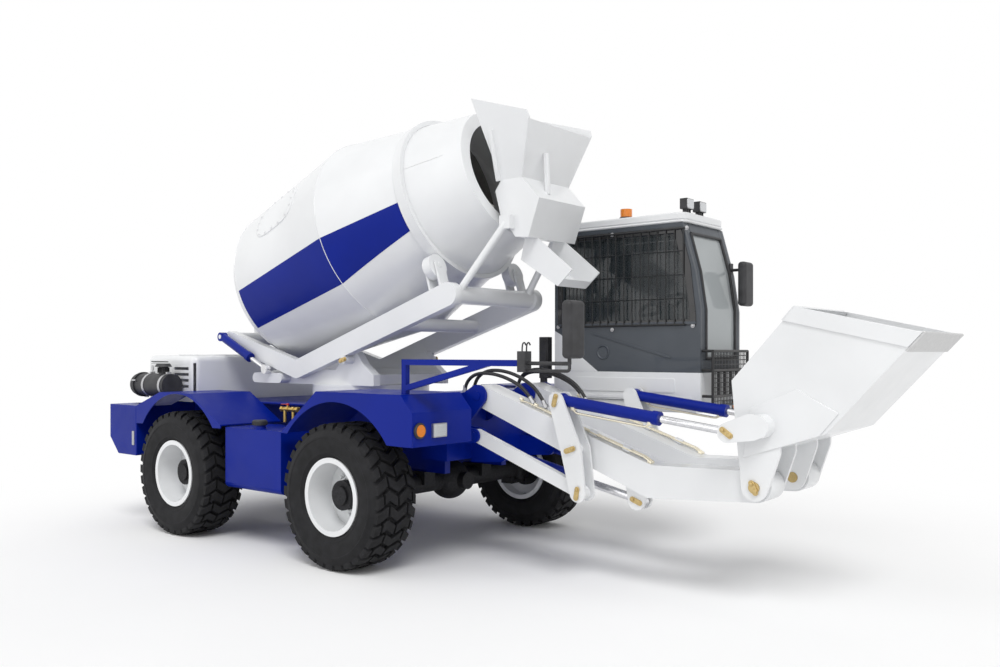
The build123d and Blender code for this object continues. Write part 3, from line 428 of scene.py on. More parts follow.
def tread_block(shape, turn, y0, y1):
    """One block of the tread: a band across the tyre that swings in a zigzag, with a rounded shoulder."""
    half_turn = TREAD_FILL * pi / TREAD_ROWS
    kinks = [y for y in (-TREAD_WAVE, 0.0, TREAD_WAVE) if y0 < y < y1]
    places = sorted([y0, y1, (y0 + y1) / 2, *kinks])
    rings = []
    for y in places:
        shoulder = max(0.0, (abs(y) - SHOULDER_Y) / (TREAD_HALF - SHOULDER_Y)) ** 2
        middle = turn + TREAD_SWING * (1 - abs(1 - abs(y) / TREAD_WAVE)) / TYRE_TOP_R
        top = TYRE_TOP_R - 0.015 * shoulder
        base = TYRE_BASE_R - 0.006 - 0.022 * shoulder
        edge = top - 0.003
        spots = ((base, -1.0), (edge, -0.92), (top, -0.84), (top, 0.84), (edge, 0.92), (base, 1.0))
        rings.append([shape.verts.new(tread_place(r, middle + share * half_turn, y)) for r, share in spots])
    skin(shape, rings, True, False)


def tyre_mesh():
    """Carcass with sidewall ribs under two kinds of tread row, which take turns."""
    shape = bmesh.new()
    half = ((0.2625, 0.160), (0.292, 0.160), (0.300, 0.172), (0.318, 0.181), (0.322, 0.186), (0.328, 0.185),
            (0.345, 0.191), (0.395, 0.199), (0.430, 0.198), (0.434, 0.201), (0.446, 0.199), (0.450, 0.195),
            (0.478, 0.187), (0.498, 0.174), (TYRE_BASE_R, 0.150))
    profile = [*half, *((r, -y) for r, y in reversed(half))]
    lathe(shape, profile, facing((0, 0, 0), (0, 1, 0)), 96)
    for row, turn in enumerate(around(TREAD_ROWS)):
        cuts = CUTS_ODD if row % 2 else CUTS_EVEN
        edges = (-TREAD_HALF - CUT_GAP, *cuts, TREAD_HALF + CUT_GAP)
        for y0, y1 in zip(edges, edges[1:]):
            tread_block(shape, turn, y0 + CUT_GAP, y1 - CUT_GAP)
    return shape


def wheel_trim():
    """Ring of wheel bolts and a clamp ring on the rim's disc."""
    shape = bmesh.new()
    disc_y, bolts, bolt_circle_r = -0.020, 10, 0.150
    ring_y, ring_in_r, ring_out_r = disc_y + 0.012, 0.118, 0.132
    for turn in around(bolts):
        hex_bolt(shape, facing(tread_place(bolt_circle_r, turn, disc_y), (0, 1, 0)), 0.026, 0.020)
    ring = ((ring_in_r, disc_y), (ring_out_r, disc_y), (ring_out_r, ring_y), (ring_in_r, ring_y),
            (ring_in_r, disc_y))
    lathe(shape, ring, facing((0, 0, 0), (0, 1, 0)), 48)
    return shape


def valve_stem():
    shape = bmesh.new()
    foot = tread_place(0.190, radians(265), -0.045)
    tip = foot + Vector((0.0, 0.130, 0.0))
    rod(shape, foot, tip, 0.006, 12)
    rod(shape, tip - Vector((0.0, 0.028, 0.0)), tip + Vector((0.0, 0.004, 0.0)), 0.009, 12)
    return shape


def wheels():
    first = {}
    makers = (("tyre", tyre_mesh, TYRE), ("wheel_bolts", wheel_trim, WHITE),
              ("valve_stem", valve_stem, PLASTIC))
    for corner in CORNERS:
        for name, maker, finish in makers:
            if name in first:
                made = add_object(f"{name}_piece_{corner}", first[name])
            else:
                made = piece(f"{name}_piece_{corner}", maker(), finish)
                first[name] = made.data
            made.location = pivot(f"spin_{corner}")
            made.rotation_euler = (0.0, 0.0, pi if corner.endswith("right") else 0.0)
            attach(made, f"wheel_{corner}")
            if name == "tyre":
                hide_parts(f"tyre_{corner}")


# Drum: s runs along its axis from the widest seam, and angles count from the top towards the right
def drum_radius(s):
    if s < 0:
        return DRUM_R + (DRUM_R - DRUM_REAR_R) * s / -DRUM_REAR_S
    return DRUM_R - (DRUM_R - DRUM_MOUTH_R) * s / DRUM_MOUTH_S


def drum_out(turn):
    return DRUM_UP * cos(turn) + RIGHT * sin(turn)


def drum_point(s, degrees, rise=0.0):
    out = drum_out(radians(degrees))
    return DRUM_FROM + DRUM_AXIS * s + out * (drum_radius(s) + rise)


def drum_stripe():
    """Painted stripe on the right side, broken at the seam."""
    shape = bmesh.new()
    top, along, across, proud = 97.0, 24, 16, 0.0016
    runs = (
        # from s, to s, lower edge at each
        (DRUM_REAR_S + 0.006, -0.002, 125.0, 124.0),
        (0.002, RING_S - 0.047, 124.0, 117.0),
    )
    for s0, s1, low0, low1 in runs:
        rows = []
        for i in range(along + 1):
            s = s0 + (s1 - s0) * i / along
            low = low0 + (low1 - low0) * i / along
            spread = [top + (low - top) * j / across for j in range(across + 1)]
            rows.append([shape.verts.new(drum_point(s, angle, proud)) for angle in spread])
        skin(shape, rows, closed=False)
    piece("drum_stripe", shape, BLUE, "drum", crease=60.0)


def drum_seams():
    """Weld beads round the drum and along its front cone."""
    shape = bmesh.new()
    matrix = facing(DRUM_FROM, DRUM_AXIS)
    bead = 0.0035
    for s in (0.0, DRUM_REAR_S):
        r = drum_radius(s)
        low, top = r - bead, r + bead
        flank = r + bead * 0.4
        profile = ((low, s - bead), (flank, s - bead), (top, s), (flank, s + bead), (low, s + bead))
        lathe(shape, profile, matrix, 160)
    runs = (
        # from s, to s, angle
        (RING_S + 0.05, 1.175, 76.0),
        (0.01, RING_S - 0.05, 250.0),
        (-1.33, -0.01, 205.0),
    )
    for s0, s1, angle in runs:
        sweep(shape, [drum_point(s0 + (s1 - s0) * i / 8, angle) for i in range(9)], bead, 8)
    piece("drum_seams", shape, WHITE, "drum", crease=60.0)


def drum_hatch():
    """Curved inspection cover with its ring of bolts."""
    shape = bmesh.new()
    middle_s, middle_angle, half_s, half_angle = -0.655, 59.5, 0.285, 13.5
    rings, rounds, power = 8, 48, 3.2

    def spot(share, turn, rise):
        c, s = cos(turn), sin(turn)
        reach = share / (abs(c) ** power + abs(s) ** power) ** (1 / power)
        return drum_point(middle_s + half_s * reach * c, middle_angle + half_angle * reach * s, rise)

    turns = around(rounds)
    levels = [(share / rings, 0.009) for share in range(1, rings + 1)] + [(1.015, 0.006), (1.02, -0.004)]
    rows = [[shape.verts.new(spot(share, turn, rise)) for turn in turns] for share, rise in levels]
    skin(shape, rows)
    shape.faces.new(rows[0])
    out = drum_out(radians(middle_angle))
    for turn in turns[::3]:
        hex_bolt(shape, facing(spot(0.92, turn, 0.008), out, DRUM_AXIS), 0.015, 0.009)
    piece("drum_hatch", shape, WHITE, "drum", crease=40.0)


def drum_inside():
    """Two spiral mixing blades that show through the mouth."""
    shape = bmesh.new()
    steps, turns_round, first_s, run = 140, 2.4, -1.20, 2.45
    depth, thick, lean = 0.20, 0.008, 0.02
    for start in (0.0, pi):
        rows = []
        for i in range(steps + 1):
            share = i / steps
            s = first_s + run * share
            out = drum_out(start + 2 * pi * turns_round * share)
            wall = drum_radius(s) - 0.012
            root = DRUM_FROM + DRUM_AXIS * s
            section = ((wall, 0.0), (wall - depth, lean), (wall - depth, lean + thick), (wall, thick))
            rows.append([shape.verts.new(root + out * r + DRUM_AXIS * lift) for r, lift in section])
        skin(shape, rows, True)
    piece("drum_blades", shape, STEEL, "drum", crease=50.0)


# Pins, pipes and hoses of the loader
TILT_EYE = pivot("bucket_tilt") + xz(-0.125, 0.330)


def retainers():
    """Plated keeper plates with their bolts on the ends of the pins."""
    lever_y, bucket_y, clevis_y, lift_y, cradle_y = 0.558, 0.443, 0.547, 0.354, 0.553
    lever = pivot("lever_level")
    table = (
        # name, body, place in X and Z, y of the pin's end, lean in degrees
        ("lever_pin", "arms", lever, lever_y, 20.0),
        ("lever_low_pin", "levers", lever + xz(0.055, -0.290), lever_y - 0.002, 80.0),
        ("lever_top_pin", "levers", pivot("tilt_barrel_swing"), lever_y - 0.002, 75.0),
        ("bucket_pin", "bucket_carrier", pivot("bucket_tilt"), bucket_y, 115.0),
        ("bucket_tilt_pin", "bucket", TILT_EYE, clevis_y, 145.0),
        ("lift_pin", "arms", at(2.004, 0.0, 0.600), lift_y, 160.0),
        ("cradle_pin", "platform", pivot("drum_tilt"), cradle_y, 15.0),
    )
    thick = 0.007
    nipple = ((0, thick), (0.014, thick), (0.014, 0.011), (0.005, 0.012), (0, 0.012))
    for name, body, place, y, lean in table:
        shape = bmesh.new()
        up = xz(cos(radians(lean)), sin(radians(lean)))
        for side in SIDES:
            matrix = facing(Vector((place.x, side * y, place.z)), (0, side, 0), up)
            prism(shape, rounded(0.036, 0.096, 0.0175), matrix, thick)
            hex_bolt(shape, matrix @ Matrix.Translation((0.0, 0.026, thick)), 0.019)
            lathe(shape, nipple, matrix @ Matrix.Translation((0.0, -0.024, 0.0)), 20)
        piece(f"{name}_keepers", shape, GOLD, body, 0.0012)


def pipes():
    """Plated steel pipes held along the arms and the tilt cylinders, with their clips and end fittings."""
    root, elbow = pivot("lift"), at(2.130, 0.0, 0.745)
    along = (elbow - root).normalized()
    out = xz(-along.z, along.x)
    end = 1.49
    shape = bmesh.new()
    clips = bmesh.new()
    for side in SIDES:
        for y, start in ((0.372, 0.36), (0.345, 0.48)):
            base = Vector((root.x, side * y, root.z))
            bends = ((start, 0.098), (start + 0.05, 0.108), (end - 0.05, 0.128), (end, 0.118))
            sweep(shape, [base + along * s + out * rise for s, rise in bends], 0.0075, 12)
            for s in (start, end):
                nut = base + along * s + out * 0.112
                rod(shape, nut - along * 0.012, nut + along * 0.016, 0.012, 6)
        for s in (0.70, 1.02, 1.30):
            spot = Vector((root.x, side * 0.3585, root.z)) + along * s + out * (0.108 + 0.012 * s)
            box(clips, spot, (0.036, 0.062, 0.030), facing((0, 0, 0), out, along))
    piece("arm_pipes", shape, PIPE, "arms")
    piece("arm_pipe_clips", clips, WHITE, "arms", 0.003)
    foot = pivot("tilt_barrel_swing")
    along = xz(TILT_EYE.x - foot.x, TILT_EYE.z - foot.z).normalized()
    low = xz(along.z, -along.x)
    bends = ((0.12, 0.8), (0.14, 1.25), (0.20, 1.25), (0.64, 1.25), (0.70, 1.25), (0.72, 0.8))
    shape = bmesh.new()
    for side in SIDES:
        base = Vector((foot.x, side * 0.487, foot.z))
        reach = low * 0.052 + Vector((0.0, side * 0.016, 0.0))
        line = [base + along * s + reach * depth for s, depth in bends]
        sweep(shape, smooth_line(line, "pipe_line"), 0.008, 12)
        for s in (0.12, 0.72):
            box(shape, base + along * s + reach * 0.72, (0.030, 0.030, 0.030), facing((0, 0, 0), along))
    piece("tilt_pipes", shape, PIPE, "tilt_barrels", 0.0015)


# Control points of the hoses in x and z, from the nose to the arm
OUTER_ROUTE = ((0.465, 1.285), (0.468, 1.345), (0.560, 1.425), (0.718, 1.435), (0.900, 1.395),
               (1.060, 1.315), (1.126, 1.225))
INNER_ROUTE = ((0.510, 1.285), (0.514, 1.365), (0.620, 1.450), (0.800, 1.455), (0.990, 1.400),
               (1.140, 1.300), (1.200, 1.195))


def hoses():
    """Loose hydraulic hoses from the nose over the arms' root, each one smooth line between two fittings."""
    routes = (
        # name, y, route
        ("hose_right_outer", -0.330, OUTER_ROUTE),
        ("hose_right_inner", -0.275, INNER_ROUTE),
        ("hose_left_outer", 0.330, OUTER_ROUTE),
        ("hose_left_inner", 0.275, INNER_ROUTE),
    )
    radius = 0.0135
    fitting = ((0, 0), (0.021, 0), (0.021, 0.024), (0.0165, 0.026), (0.0165, 0.060), (0.0142, 0.062),
               (0.0142, 0.03))
    for name, y, route in routes:
        places = [at(x, y, z) for x, z in route]
        line = smooth_line(places, "hose_line")
        shape = bmesh.new()
        sweep(shape, line, radius, 14)
        hose = piece(name, shape, HOSE, crease=60.0)
        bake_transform(hose)
        for end, after, body in ((0, 1, "root"), (-1, -2, "arms")):
            shape = bmesh.new()
            inward = (line[after] - line[end]).normalized()
            lathe(shape, fitting, facing(line[end] - inward * 0.012, inward), 6)
            piece(f"{name}_fitting_{body}", shape, ZINC, body)


# Bucket: its pin, the run of its floor towards the lip, and the lip
BUCKET_PIN = pivot("bucket_tilt")
FLOOR_ANGLE = radians(48.0)
FLOOR_ALONG = xz(cos(FLOOR_ANGLE), sin(FLOOR_ANGLE))
FLOOR_UP = xz(-sin(FLOOR_ANGLE), cos(FLOOR_ANGLE))
FLOOR_TURN = facing((0, 0, 0), FLOOR_UP, FLOOR_ALONG)
LIP = BUCKET_PIN + xz(0.9456, 0.920)
BUCKET_WIDE = 0.866


def cutting_edge():
    """Worn bar under the lip of the bucket."""
    shape = bmesh.new()
    box(shape, LIP - FLOOR_ALONG * 0.062 - FLOOR_UP * 0.006, (BUCKET_WIDE, 0.140, 0.014), FLOOR_TURN)
    edge = piece("cutting_edge", shape, EDGE, "bucket", 0.003)


def bucket_plates():
    """Doubled side plates, the band along the mouth and its end strips."""
    heel = BUCKET_PIN + xz(0.427, 0.344)
    bend = BUCKET_PIN + xz(-0.145, 0.640)
    back_low = BUCKET_PIN + xz(-0.100, 0.164)
    top = bend + FLOOR_ALONG * 0.590
    band_wide, plate_t, band_t = 0.110, 0.010, 0.012
    doubler = (back_low + (heel - back_low) * 0.06, back_low + (heel - back_low) * 0.94,
               heel + FLOOR_ALONG * 0.150 + (bend - heel) * 0.04, BUCKET_PIN + xz(0.330, 0.560),
               BUCKET_PIN + xz(0.270, 0.600), BUCKET_PIN + xz(-0.020, 0.480))
    band = (LIP, LIP - FLOOR_ALONG * band_wide, top - FLOOR_ALONG * band_wide, top)
    shape = bmesh.new()
    for side in SIDES:
        flank = facing(Vector((0.0, side * BUCKET_WIDE / 2, 0.0)), (0, side, 0))
        for outline in (doubler, band):
            prism(shape, [(-side * p.x, p.z) for p in outline], flank, plate_t)
    piece("bucket_side_plates", shape, WHITE, "bucket", 0.003)
    seam = bmesh.new()
    middle = top - FLOOR_ALONG * band_wide / 2 + FLOOR_UP * band_t / 2
    box(seam, middle, (BUCKET_WIDE, band_wide, band_t), FLOOR_TURN)
    piece("bucket_mouth_band", seam, WHITE, "bucket", 0.003)


# Lamps
def lamp_colours():
    """Gives each lamp solid the colour of its lens."""
    mesh = NODES["lamps"].data
    for finish in (CLEAR_LENS, RED_LENS, PLASTIC):
        mesh.materials.append(finish)
    amber, clear, red, dark = range(4)
    for face in mesh.polygons:
        x, y, z = face.center.x - FRONT_X, face.center.y, face.center.z
        if x < -1.0:
            face.material_index = red
        elif z > 2.6:
            face.material_index = dark if x > 1.5 else amber
        elif x > 1.0:
            face.material_index = amber if y > 1.19 else clear
        else:
            face.material_index = amber if y < -1.13 else clear


def lamp_trim():
    """Bezels, work-lamp lenses, the beacon's base and the reflectors."""
    black, bright, glassy, grey = (bmesh.new() for _ in range(4))
    for x, y, z, r in ((0.800, -1.180, 1.056, 0.042), (1.950, 1.230, 1.172, 0.034)):
        inside, outside = r + 0.001, r + 0.013
        ring = ((inside, 0), (outside, 0), (outside, 0.014), (r + 0.007, 0.021), (inside, 0.021), (inside, 0))
        lathe(black, ring, facing(at(x, y, z), (1, 0, 0)), 40)
    bar = 0.008
    for x, y, z, wide, tall in ((0.800, -0.990, 1.050, 0.120, 0.080), (1.950, 1.115, 1.1725, 0.110, 0.065)):
        up, out = (tall + bar) / 2, (wide + bar) / 2
        for dz in (up, -up):
            box(bright, at(x + 0.010, y, z + dz), (0.022, wide + 2 * bar, bar))
        for dy in (out, -out):
            box(bright, at(x + 0.010, y + dy, z), (0.022, bar, tall))
        for row in range(5):
            box(glassy, at(x + 0.0215, y, z + tall * (row - 2) / 5.5), (0.005, wide - 0.006, tall / 9))
    x, roof = 1.830, 2.660
    for y in (0.690, 0.900):
        face = facing(at(x + 0.0305, y, roof + 0.065), (1, 0, 0))
        prism(glassy, rounded(0.096, 0.066, 0.014), face, 0.006)
        prism(bright, rounded(0.106, 0.076, 0.016), face @ Matrix.Translation((0, 0, -0.004)), 0.006)
        for side in SIDES:
            box(black, at(x, y + side * 0.030, roof + 0.012), (0.034, 0.010, 0.026))
    beacon_base = ((0, 0), (0.064, 0), (0.064, 0.014), (0.052, 0.026), (0.049, 0.026))
    lathe(black, beacon_base, facing(at(1.250, 0.760, roof), (0, 0, 1)), 40)
    for side in SIDES:
        place = facing(at(-2.800, side * 1.250, 0.800), (0, side, 0))
        prism(grey, rounded(0.036, 0.130, 0.006), place, 0.006)
        for z in (0.950, 1.060):
            box(black, at(-3.240, side * 1.165, z), (0.024, 0.142, 0.008))
    piece("lamp_bezels", black, PLASTIC, "root", 0.0012)
    piece("lamp_frames", bright, ZINC, "root", 0.001)
    piece("lamp_lenses", glassy, CLEAR_LENS, "root", 0.001)
    piece("side_reflectors", grey, REFLECTOR, "root", 0.001)


# Cab: the outer faces and the leaning front line that its walls, panes and roof share
CAB_X0, CAB_X1 = 0.650, 1.990
CAB_Y0, CAB_Y1 = 0.600, 1.285
CAB_Z0, CAB_SILL, CAB_HEAD, CAB_Z1 = 1.215, 1.840, 2.500, 2.580
CAB_WALL, CAB_PILLAR = 0.040, 0.090
SCREEN_SILL, LOW_BEND, HIGH_BEND = 1.535, 1.915, 2.205
SCREEN_Y0, SCREEN_Y1 = CAB_Y0 + CAB_PILLAR, CAB_Y1 - CAB_PILLAR
FRONT_LINE = ((SCREEN_SILL, 0.0), (LOW_BEND, 0.0), (HIGH_BEND, 0.045), (CAB_Z1, 0.150))
DOOR_HOLE = ((0.904, 1.269), (1.846, 1.269), (1.844, 1.330), (1.828, 1.850), (1.806, 2.536), (0.904, 2.536))


def front_x(z, depth=0.0):
    """X of the cab's front at height z, depth behind its outer face."""
    lean = 0.0
    for (z0, back0), (z1, back1) in zip(FRONT_LINE, FRONT_LINE[1:]):
        if z >= z0:
            lean = back0 + (back1 - back0) * (z - z0) / (z1 - z0)
    return CAB_X1 - lean - depth


def side_form(inset, z0, z1):
    """Outline of the cab's side between two heights, inset at the front and back."""
    front = [(front_x(z, inset), z) for z in (z0, LOW_BEND, HIGH_BEND, z1)]
    return ((CAB_X0 + inset, z0), *front, (CAB_X0 + inset, z1))


SIDE_OUTLINE = side_form(0.0, CAB_Z0, CAB_Z1)
WINDOW = side_form(CAB_PILLAR, CAB_SILL, CAB_HEAD)
RIGHT_SIDE = facing(at(0.0, CAB_Y0, 0.0), (0, -1, 0))


def holed_plate(shape, outline, hole, y0, y1):
    """A wall from y0 to y1 with an outline and a hole of as many corners, both in X and Z."""
    rings = [[shape.verts.new(at(x, y, z)) for x, z in ring]
             for y, ring in ((y0, hole), (y0, outline), (y1, outline), (y1, hole))]
    skin(shape, rings + rings[:1])


def front_strip(depth0, depth1, z0, z1):
    """Outline between two depths behind the front line, from z0 to z1."""
    heights = [z0, *(z for z, _ in FRONT_LINE if z0 < z < z1), z1]
    return [(front_x(z, depth0), z) for z in heights] + [(front_x(z, depth1), z) for z in reversed(heights)]


def side_prism(shape, outline, y0, y1):
    prism(shape, outline, facing(at(0.0, y1, 0.0), (0, -1, 0)), y1 - y0)


def cab_walls():
    """Walls, pillars and floor of the cab, with the front that leans back in three planes."""
    walls = bmesh.new()
    holed_plate(walls, SIDE_OUTLINE, WINDOW, CAB_Y0, CAB_Y0 + CAB_WALL)
    holed_plate(walls, SIDE_OUTLINE, DOOR_HOLE, CAB_Y1 - CAB_WALL, CAB_Y1)
    y0, y1 = CAB_Y0 + CAB_WALL, CAB_Y1 - CAB_WALL
    back, front = (CAB_X0, CAB_X0 + CAB_WALL), (CAB_X1 - CAB_WALL, CAB_X1)
    for a, b in ((y0, SCREEN_Y0), (SCREEN_Y1, y1)):
        side_prism(walls, front_strip(0.0, CAB_WALL, SCREEN_SILL, CAB_Z1), a, b)
        span(walls, back, (a, b), (CAB_SILL, CAB_HEAD))
    side_prism(walls, front_strip(0.0, CAB_WALL, CAB_HEAD, CAB_Z1), SCREEN_Y0, SCREEN_Y1)
    for x, z0, z1 in ((front, CAB_Z0, SCREEN_SILL), (back, CAB_Z0, CAB_SILL), (back, CAB_HEAD, CAB_Z1)):
        span(walls, x, (y0, y1), (z0, z1))
    span(walls, (back[1], front[0]), (y0, y1), (CAB_Z0, CAB_Z0 + CAB_WALL))
    shell = piece("cab_walls", walls, SLATE, "root", 0.006)
    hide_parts("cab_shell")


def cab_covers():
    """Panes and roof of the cab, and the left mirror's foot on its leaning front."""
    dark, reflection_panes = bmesh.new(), bmesh.new()
    # Near black side and back panes are painted shade of the cab's inside; the pale windscreen is a painted
    # reflection
    side_prism(dark, WINDOW, CAB_Y0 + 0.014, CAB_Y0 + 0.020)
    span(dark, (CAB_X0 + 0.014, CAB_X0 + 0.020), (SCREEN_Y0, SCREEN_Y1), (CAB_SILL, CAB_HEAD))
    screen = front_strip(0.008, 0.014, SCREEN_SILL + 0.001, CAB_HEAD - 0.001)
    side_prism(reflection_panes, screen, SCREEN_Y0, SCREEN_Y1)
    for name, shape, finish in (("side_panes", dark, GLASS_PAINTED_SHADE), ("windscreen", reflection_panes, GLASS_PAINTED_REFLECTION)):
        pane = piece(name, shape, finish, "root")
        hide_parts("cab_glass")
    roof = bmesh.new()
    x0, x1 = CAB_X0 - 0.020, front_x(CAB_Z1) + 0.025
    slab = facing(at((x0 + x1) / 2, (CAB_Y0 + CAB_Y1) / 2, CAB_Z1), (0, 0, 1), (0, 1, 0))
    for low, high, grow in ((0.0, 0.022, 0.0), (0.022, 0.080, -0.012)):
        outline = rounded(x1 - x0 + grow, CAB_Y1 - CAB_Y0 + grow, 0.070)
        prism(roof, outline, slab @ Matrix.Translation((0, 0, low)), high - low)
    cover = piece("roof_cover", roof, WHITE, "root", 0.030, 40.0)
    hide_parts("cab_roof")
    foot = bmesh.new()
    z, y = 2.250, CAB_Y1 - 0.045
    box(foot, at(front_x(z) + 0.004, y, z), (0.012, 0.060, 0.110))
    rod(foot, at(front_x(z) - 0.004, y, z), at(1.960, y, z), 0.013, 16)
    piece("left_mirror_foot", foot, PLASTIC, "root", 0.002)


def cab_trim():
    """Window surround, presses and white base."""
    middle_x = sum(x for x, _ in WINDOW) / len(WINDOW)
    middle_z = sum(z for _, z in WINDOW) / len(WINDOW)
    proud, wide, tall = 0.006, 0.055, 0.045
    black = bmesh.new()
    grown = [(x + copysign(wide, x - middle_x), z + copysign(tall, z - middle_z)) for x, z in WINDOW]
    levels = ((WINDOW, 0.0), (WINDOW, proud), (grown, proud), (grown, 0.0))
    rings = [[black.verts.new(RIGHT_SIDE @ Vector((x, z, rise))) for x, z in ring] for ring, rise in levels]
    skin(black, rings)
    piece("window_surround", black, GLOSS_BLACK, "root", 0.002)
    slate = bmesh.new()
    crease = ((1.000, 1.742), (1.015, 1.752), (1.740, 1.560), (1.744, 1.546), (1.730, 1.542))
    prism(slate, crease, RIGHT_SIDE, 0.006)
    cup = ((0.050, 0), (0.060, 0), (0.058, 0.006), (0.050, 0.007), (0.044, 0.001), (0.0, 0.001))
    lathe(slate, cup, RIGHT_SIDE @ Matrix.Translation((1.130, 1.590, 0.0)), 40)
    prism(slate, ((0.690, 1.800), (1.955, 1.800), (1.955, 1.822), (0.690, 1.822)), RIGHT_SIDE, 0.010)
    piece("cab_panel_press", slate, SLATE, "root", 0.003)
    white = bmesh.new()
    flash = ((0.652, 1.436), (1.080, 1.436), (0.800, 1.640), (0.720, 1.735), (0.652, 1.770))
    prism(white, flash, RIGHT_SIDE, 0.0025)
    base_low, base_top, clad = 1.216, 1.435, 0.003
    right, left = CAB_Y0 - clad, CAB_Y1 + clad
    sheets = (
        # from x, to x, from y, to y
        (CAB_X0, CAB_X1, right, CAB_Y0),
        (CAB_X1, CAB_X1 + clad, right, left),
        (CAB_X0 - clad, CAB_X0, right, left),
        (CAB_X0, 0.900, CAB_Y1, left),
        (1.850, CAB_X1, CAB_Y1, left),
    )
    for x0, x1, y0, y1 in sheets:
        span(white, (x0, x1), (y0, y1), (base_low, base_top))
    prism(white, rounded(0.980, 0.110, 0.020), RIGHT_SIDE @ Matrix.Translation((1.290, 1.335, clad)), 0.006)
    prism(white, rounded(1.240, 0.022, 0.010), RIGHT_SIDE @ Matrix.Translation((1.300, 1.240, clad)), 0.005)
    piece("cab_base_press", white, WHITE, "root", 0.003)


def cab_fittings():
    """Bolts and wires of the window guard, rubber of the screen, front basket and door handle."""
    bolts = bmesh.new()
    bolt_places = ((0.690, 1.800), (1.220, 1.770), (1.930, 1.790), (1.880, 2.530), (0.690, 2.530),
                   (1.220, 2.530))
    for x, z in bolt_places:
        hex_bolt(bolts, RIGHT_SIDE @ Matrix.Translation((x, z, 0.006)), 0.020)
    piece("guard_bolts", bolts, ZINC, "root", 0.001)
    front = bmesh.new()
    rubber_z, rubber_r, ahead = SCREEN_SILL + 0.010, 0.012, -0.002
    for y in (SCREEN_Y0, SCREEN_Y1):
        heights = (rubber_z, LOW_BEND, HIGH_BEND, CAB_HEAD)
        sweep(front, [at(front_x(z, ahead), y, z) for z in heights], rubber_r, 8)
    for z in (rubber_z, CAB_HEAD):
        x = front_x(z, ahead)
        rod(front, at(x, SCREEN_Y0, z), at(x, SCREEN_Y1, z), rubber_r, 8)
    piece("windscreen_rubber", front, PLASTIC, "root")
    wires = bmesh.new()
    wire_y = CAB_Y0 - 0.012
    for z in (2.000, 2.180, 2.360):
        rod(wires, at(0.735, wire_y, z), at(1.855, wire_y, z), 0.0035, 8)
    piece("guard_cross_wires", wires, BLACK, "root")
    basket = bmesh.new()
    x, y0, y1, z0, z1 = 2.075, 0.630, 1.245, 1.190, 1.600
    frame_r, wire_r, rows, columns = 0.010, 0.0035, 12, 24
    for z in (z0, z1):
        for start, end in (((CAB_X1, y0), (x, y0)), ((x, y0), (x, y1)), ((x, y1), (CAB_X1, y1))):
            rod(basket, at(*start, z), at(*end, z), frame_r, 12)
    for y in (y0, y1):
        rod(basket, at(x, y, z0), at(x, y, z1), frame_r, 12)
    for row in range(1, rows):
        z = z0 + (z1 - z0) * row / rows
        rod(basket, at(x, y0, z), at(x, y1, z), wire_r, 8)
    for column in range(1, columns):
        y = y0 + (y1 - y0) * column / columns
        rod(basket, at(x, y, z0), at(x, y, z1), wire_r, 8)
    piece("basket_mesh", basket, BLACK, "root")
    handle = bmesh.new()
    grip = ((0.0, 0.0), (0.040, 0.0), (0.045, 0.06), (0.045, 0.12), (0.040, 0.18), (0.0, 0.18))
    line = smooth_line([at(1.70, CAB_Y1 + out, 1.62 + up) for out, up in grip], "handle_line")
    sweep(handle, line, 0.010, 10)
    piece("door_handle", handle, PLASTIC, "door")


def cushion(shape, place, size, crown, lean=0.0):
    """A crowned, stuffed form whose sides pull in between its corners."""
    rows, rounds = 20, 48
    tilt = Matrix.Rotation(radians(lean), 4, "Y")
    rings = []
    for i in range(rows + 1):
        rise = pi * (i / rows - 0.5)
        flat = copysign(abs(cos(rise)) ** 0.30, cos(rise))
        tall = copysign(abs(sin(rise)) ** 0.55, sin(rise))
        ring = []
        for turn in around(rounds):
            c, s = cos(turn), sin(turn)
            x = copysign(abs(c) ** 0.38, c)
            y = copysign(abs(s) ** 0.38, s)
            pull = 1 - 0.035 * cos(2 * turn) ** 2
            swell = 1 + crown * max(0.0, 1 - x * x) * max(0.0, 1 - y * y) * max(0.0, tall)
            reach = flat * pull / 2
            spot = Vector((size[0] * x * reach, size[1] * y * reach, size[2] / 2 * tall * swell))
            ring.append(shape.verts.new(Vector(place) + tilt @ spot))
        rings.append(ring)
    skin(shape, rings)


def driver_seat():
    """Seat base, stuffed cushion and back in place of the plain solid."""
    low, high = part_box("cab_seat")
    middle_y = (low[1] + high[1]) / 2
    base = bmesh.new()
    box(base, (low[0] + 0.305, middle_y, low[2] + 0.150), (0.330, 0.300, 0.300))
    box(base, (low[0] + 0.305, middle_y, low[2] + 0.315), (0.400, 0.360, 0.030))
    seat_base = piece("seat_base", base, PLASTIC, "root", 0.015)
    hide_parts("cab_seat")
    table = (
        # name, place, size, crown, lean
        ("seat_cushion", (low[0] + 0.310, middle_y, low[2] + 0.390), (0.480, 0.420, 0.120), 0.10, -4.0),
        ("seat_back", (low[0] + 0.105, middle_y, low[2] + 0.735), (0.115, 0.390, 0.600), 0.04, -8.0),
    )
    for name, place, size, crown, lean in table:
        shape = bmesh.new()
        cushion(shape, place, size, crown, lean)
        pad = piece(name, shape, VINYL, "root", crease=80.0)
        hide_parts("cab_seat")


# Body panels and fittings
def hopper_ribs():
    """Square ribs that stiffen the hopper's wings and its front plate."""
    shape = bmesh.new()
    wide, deep = 0.030, 0.034
    lines = [(at(1.100, -0.118, 2.770), at(1.082, -0.118, 3.080), (1.0, 0.0, 0.0))]
    for side in SIDES:
        lines.append((at(0.785, side * 0.304, 2.880), at(0.785, side * 0.402, 3.250), (0.0, side, 0.0)))
    for low, high, out in lines:
        run = high - low
        turn = facing((0, 0, 0), run, out)
        box(shape, (low + high) / 2 + Vector(out) * 0.006, (wide, deep, run.length), turn)
    piece("hopper_ribs", shape, WHITE, "cradle", 0.004)


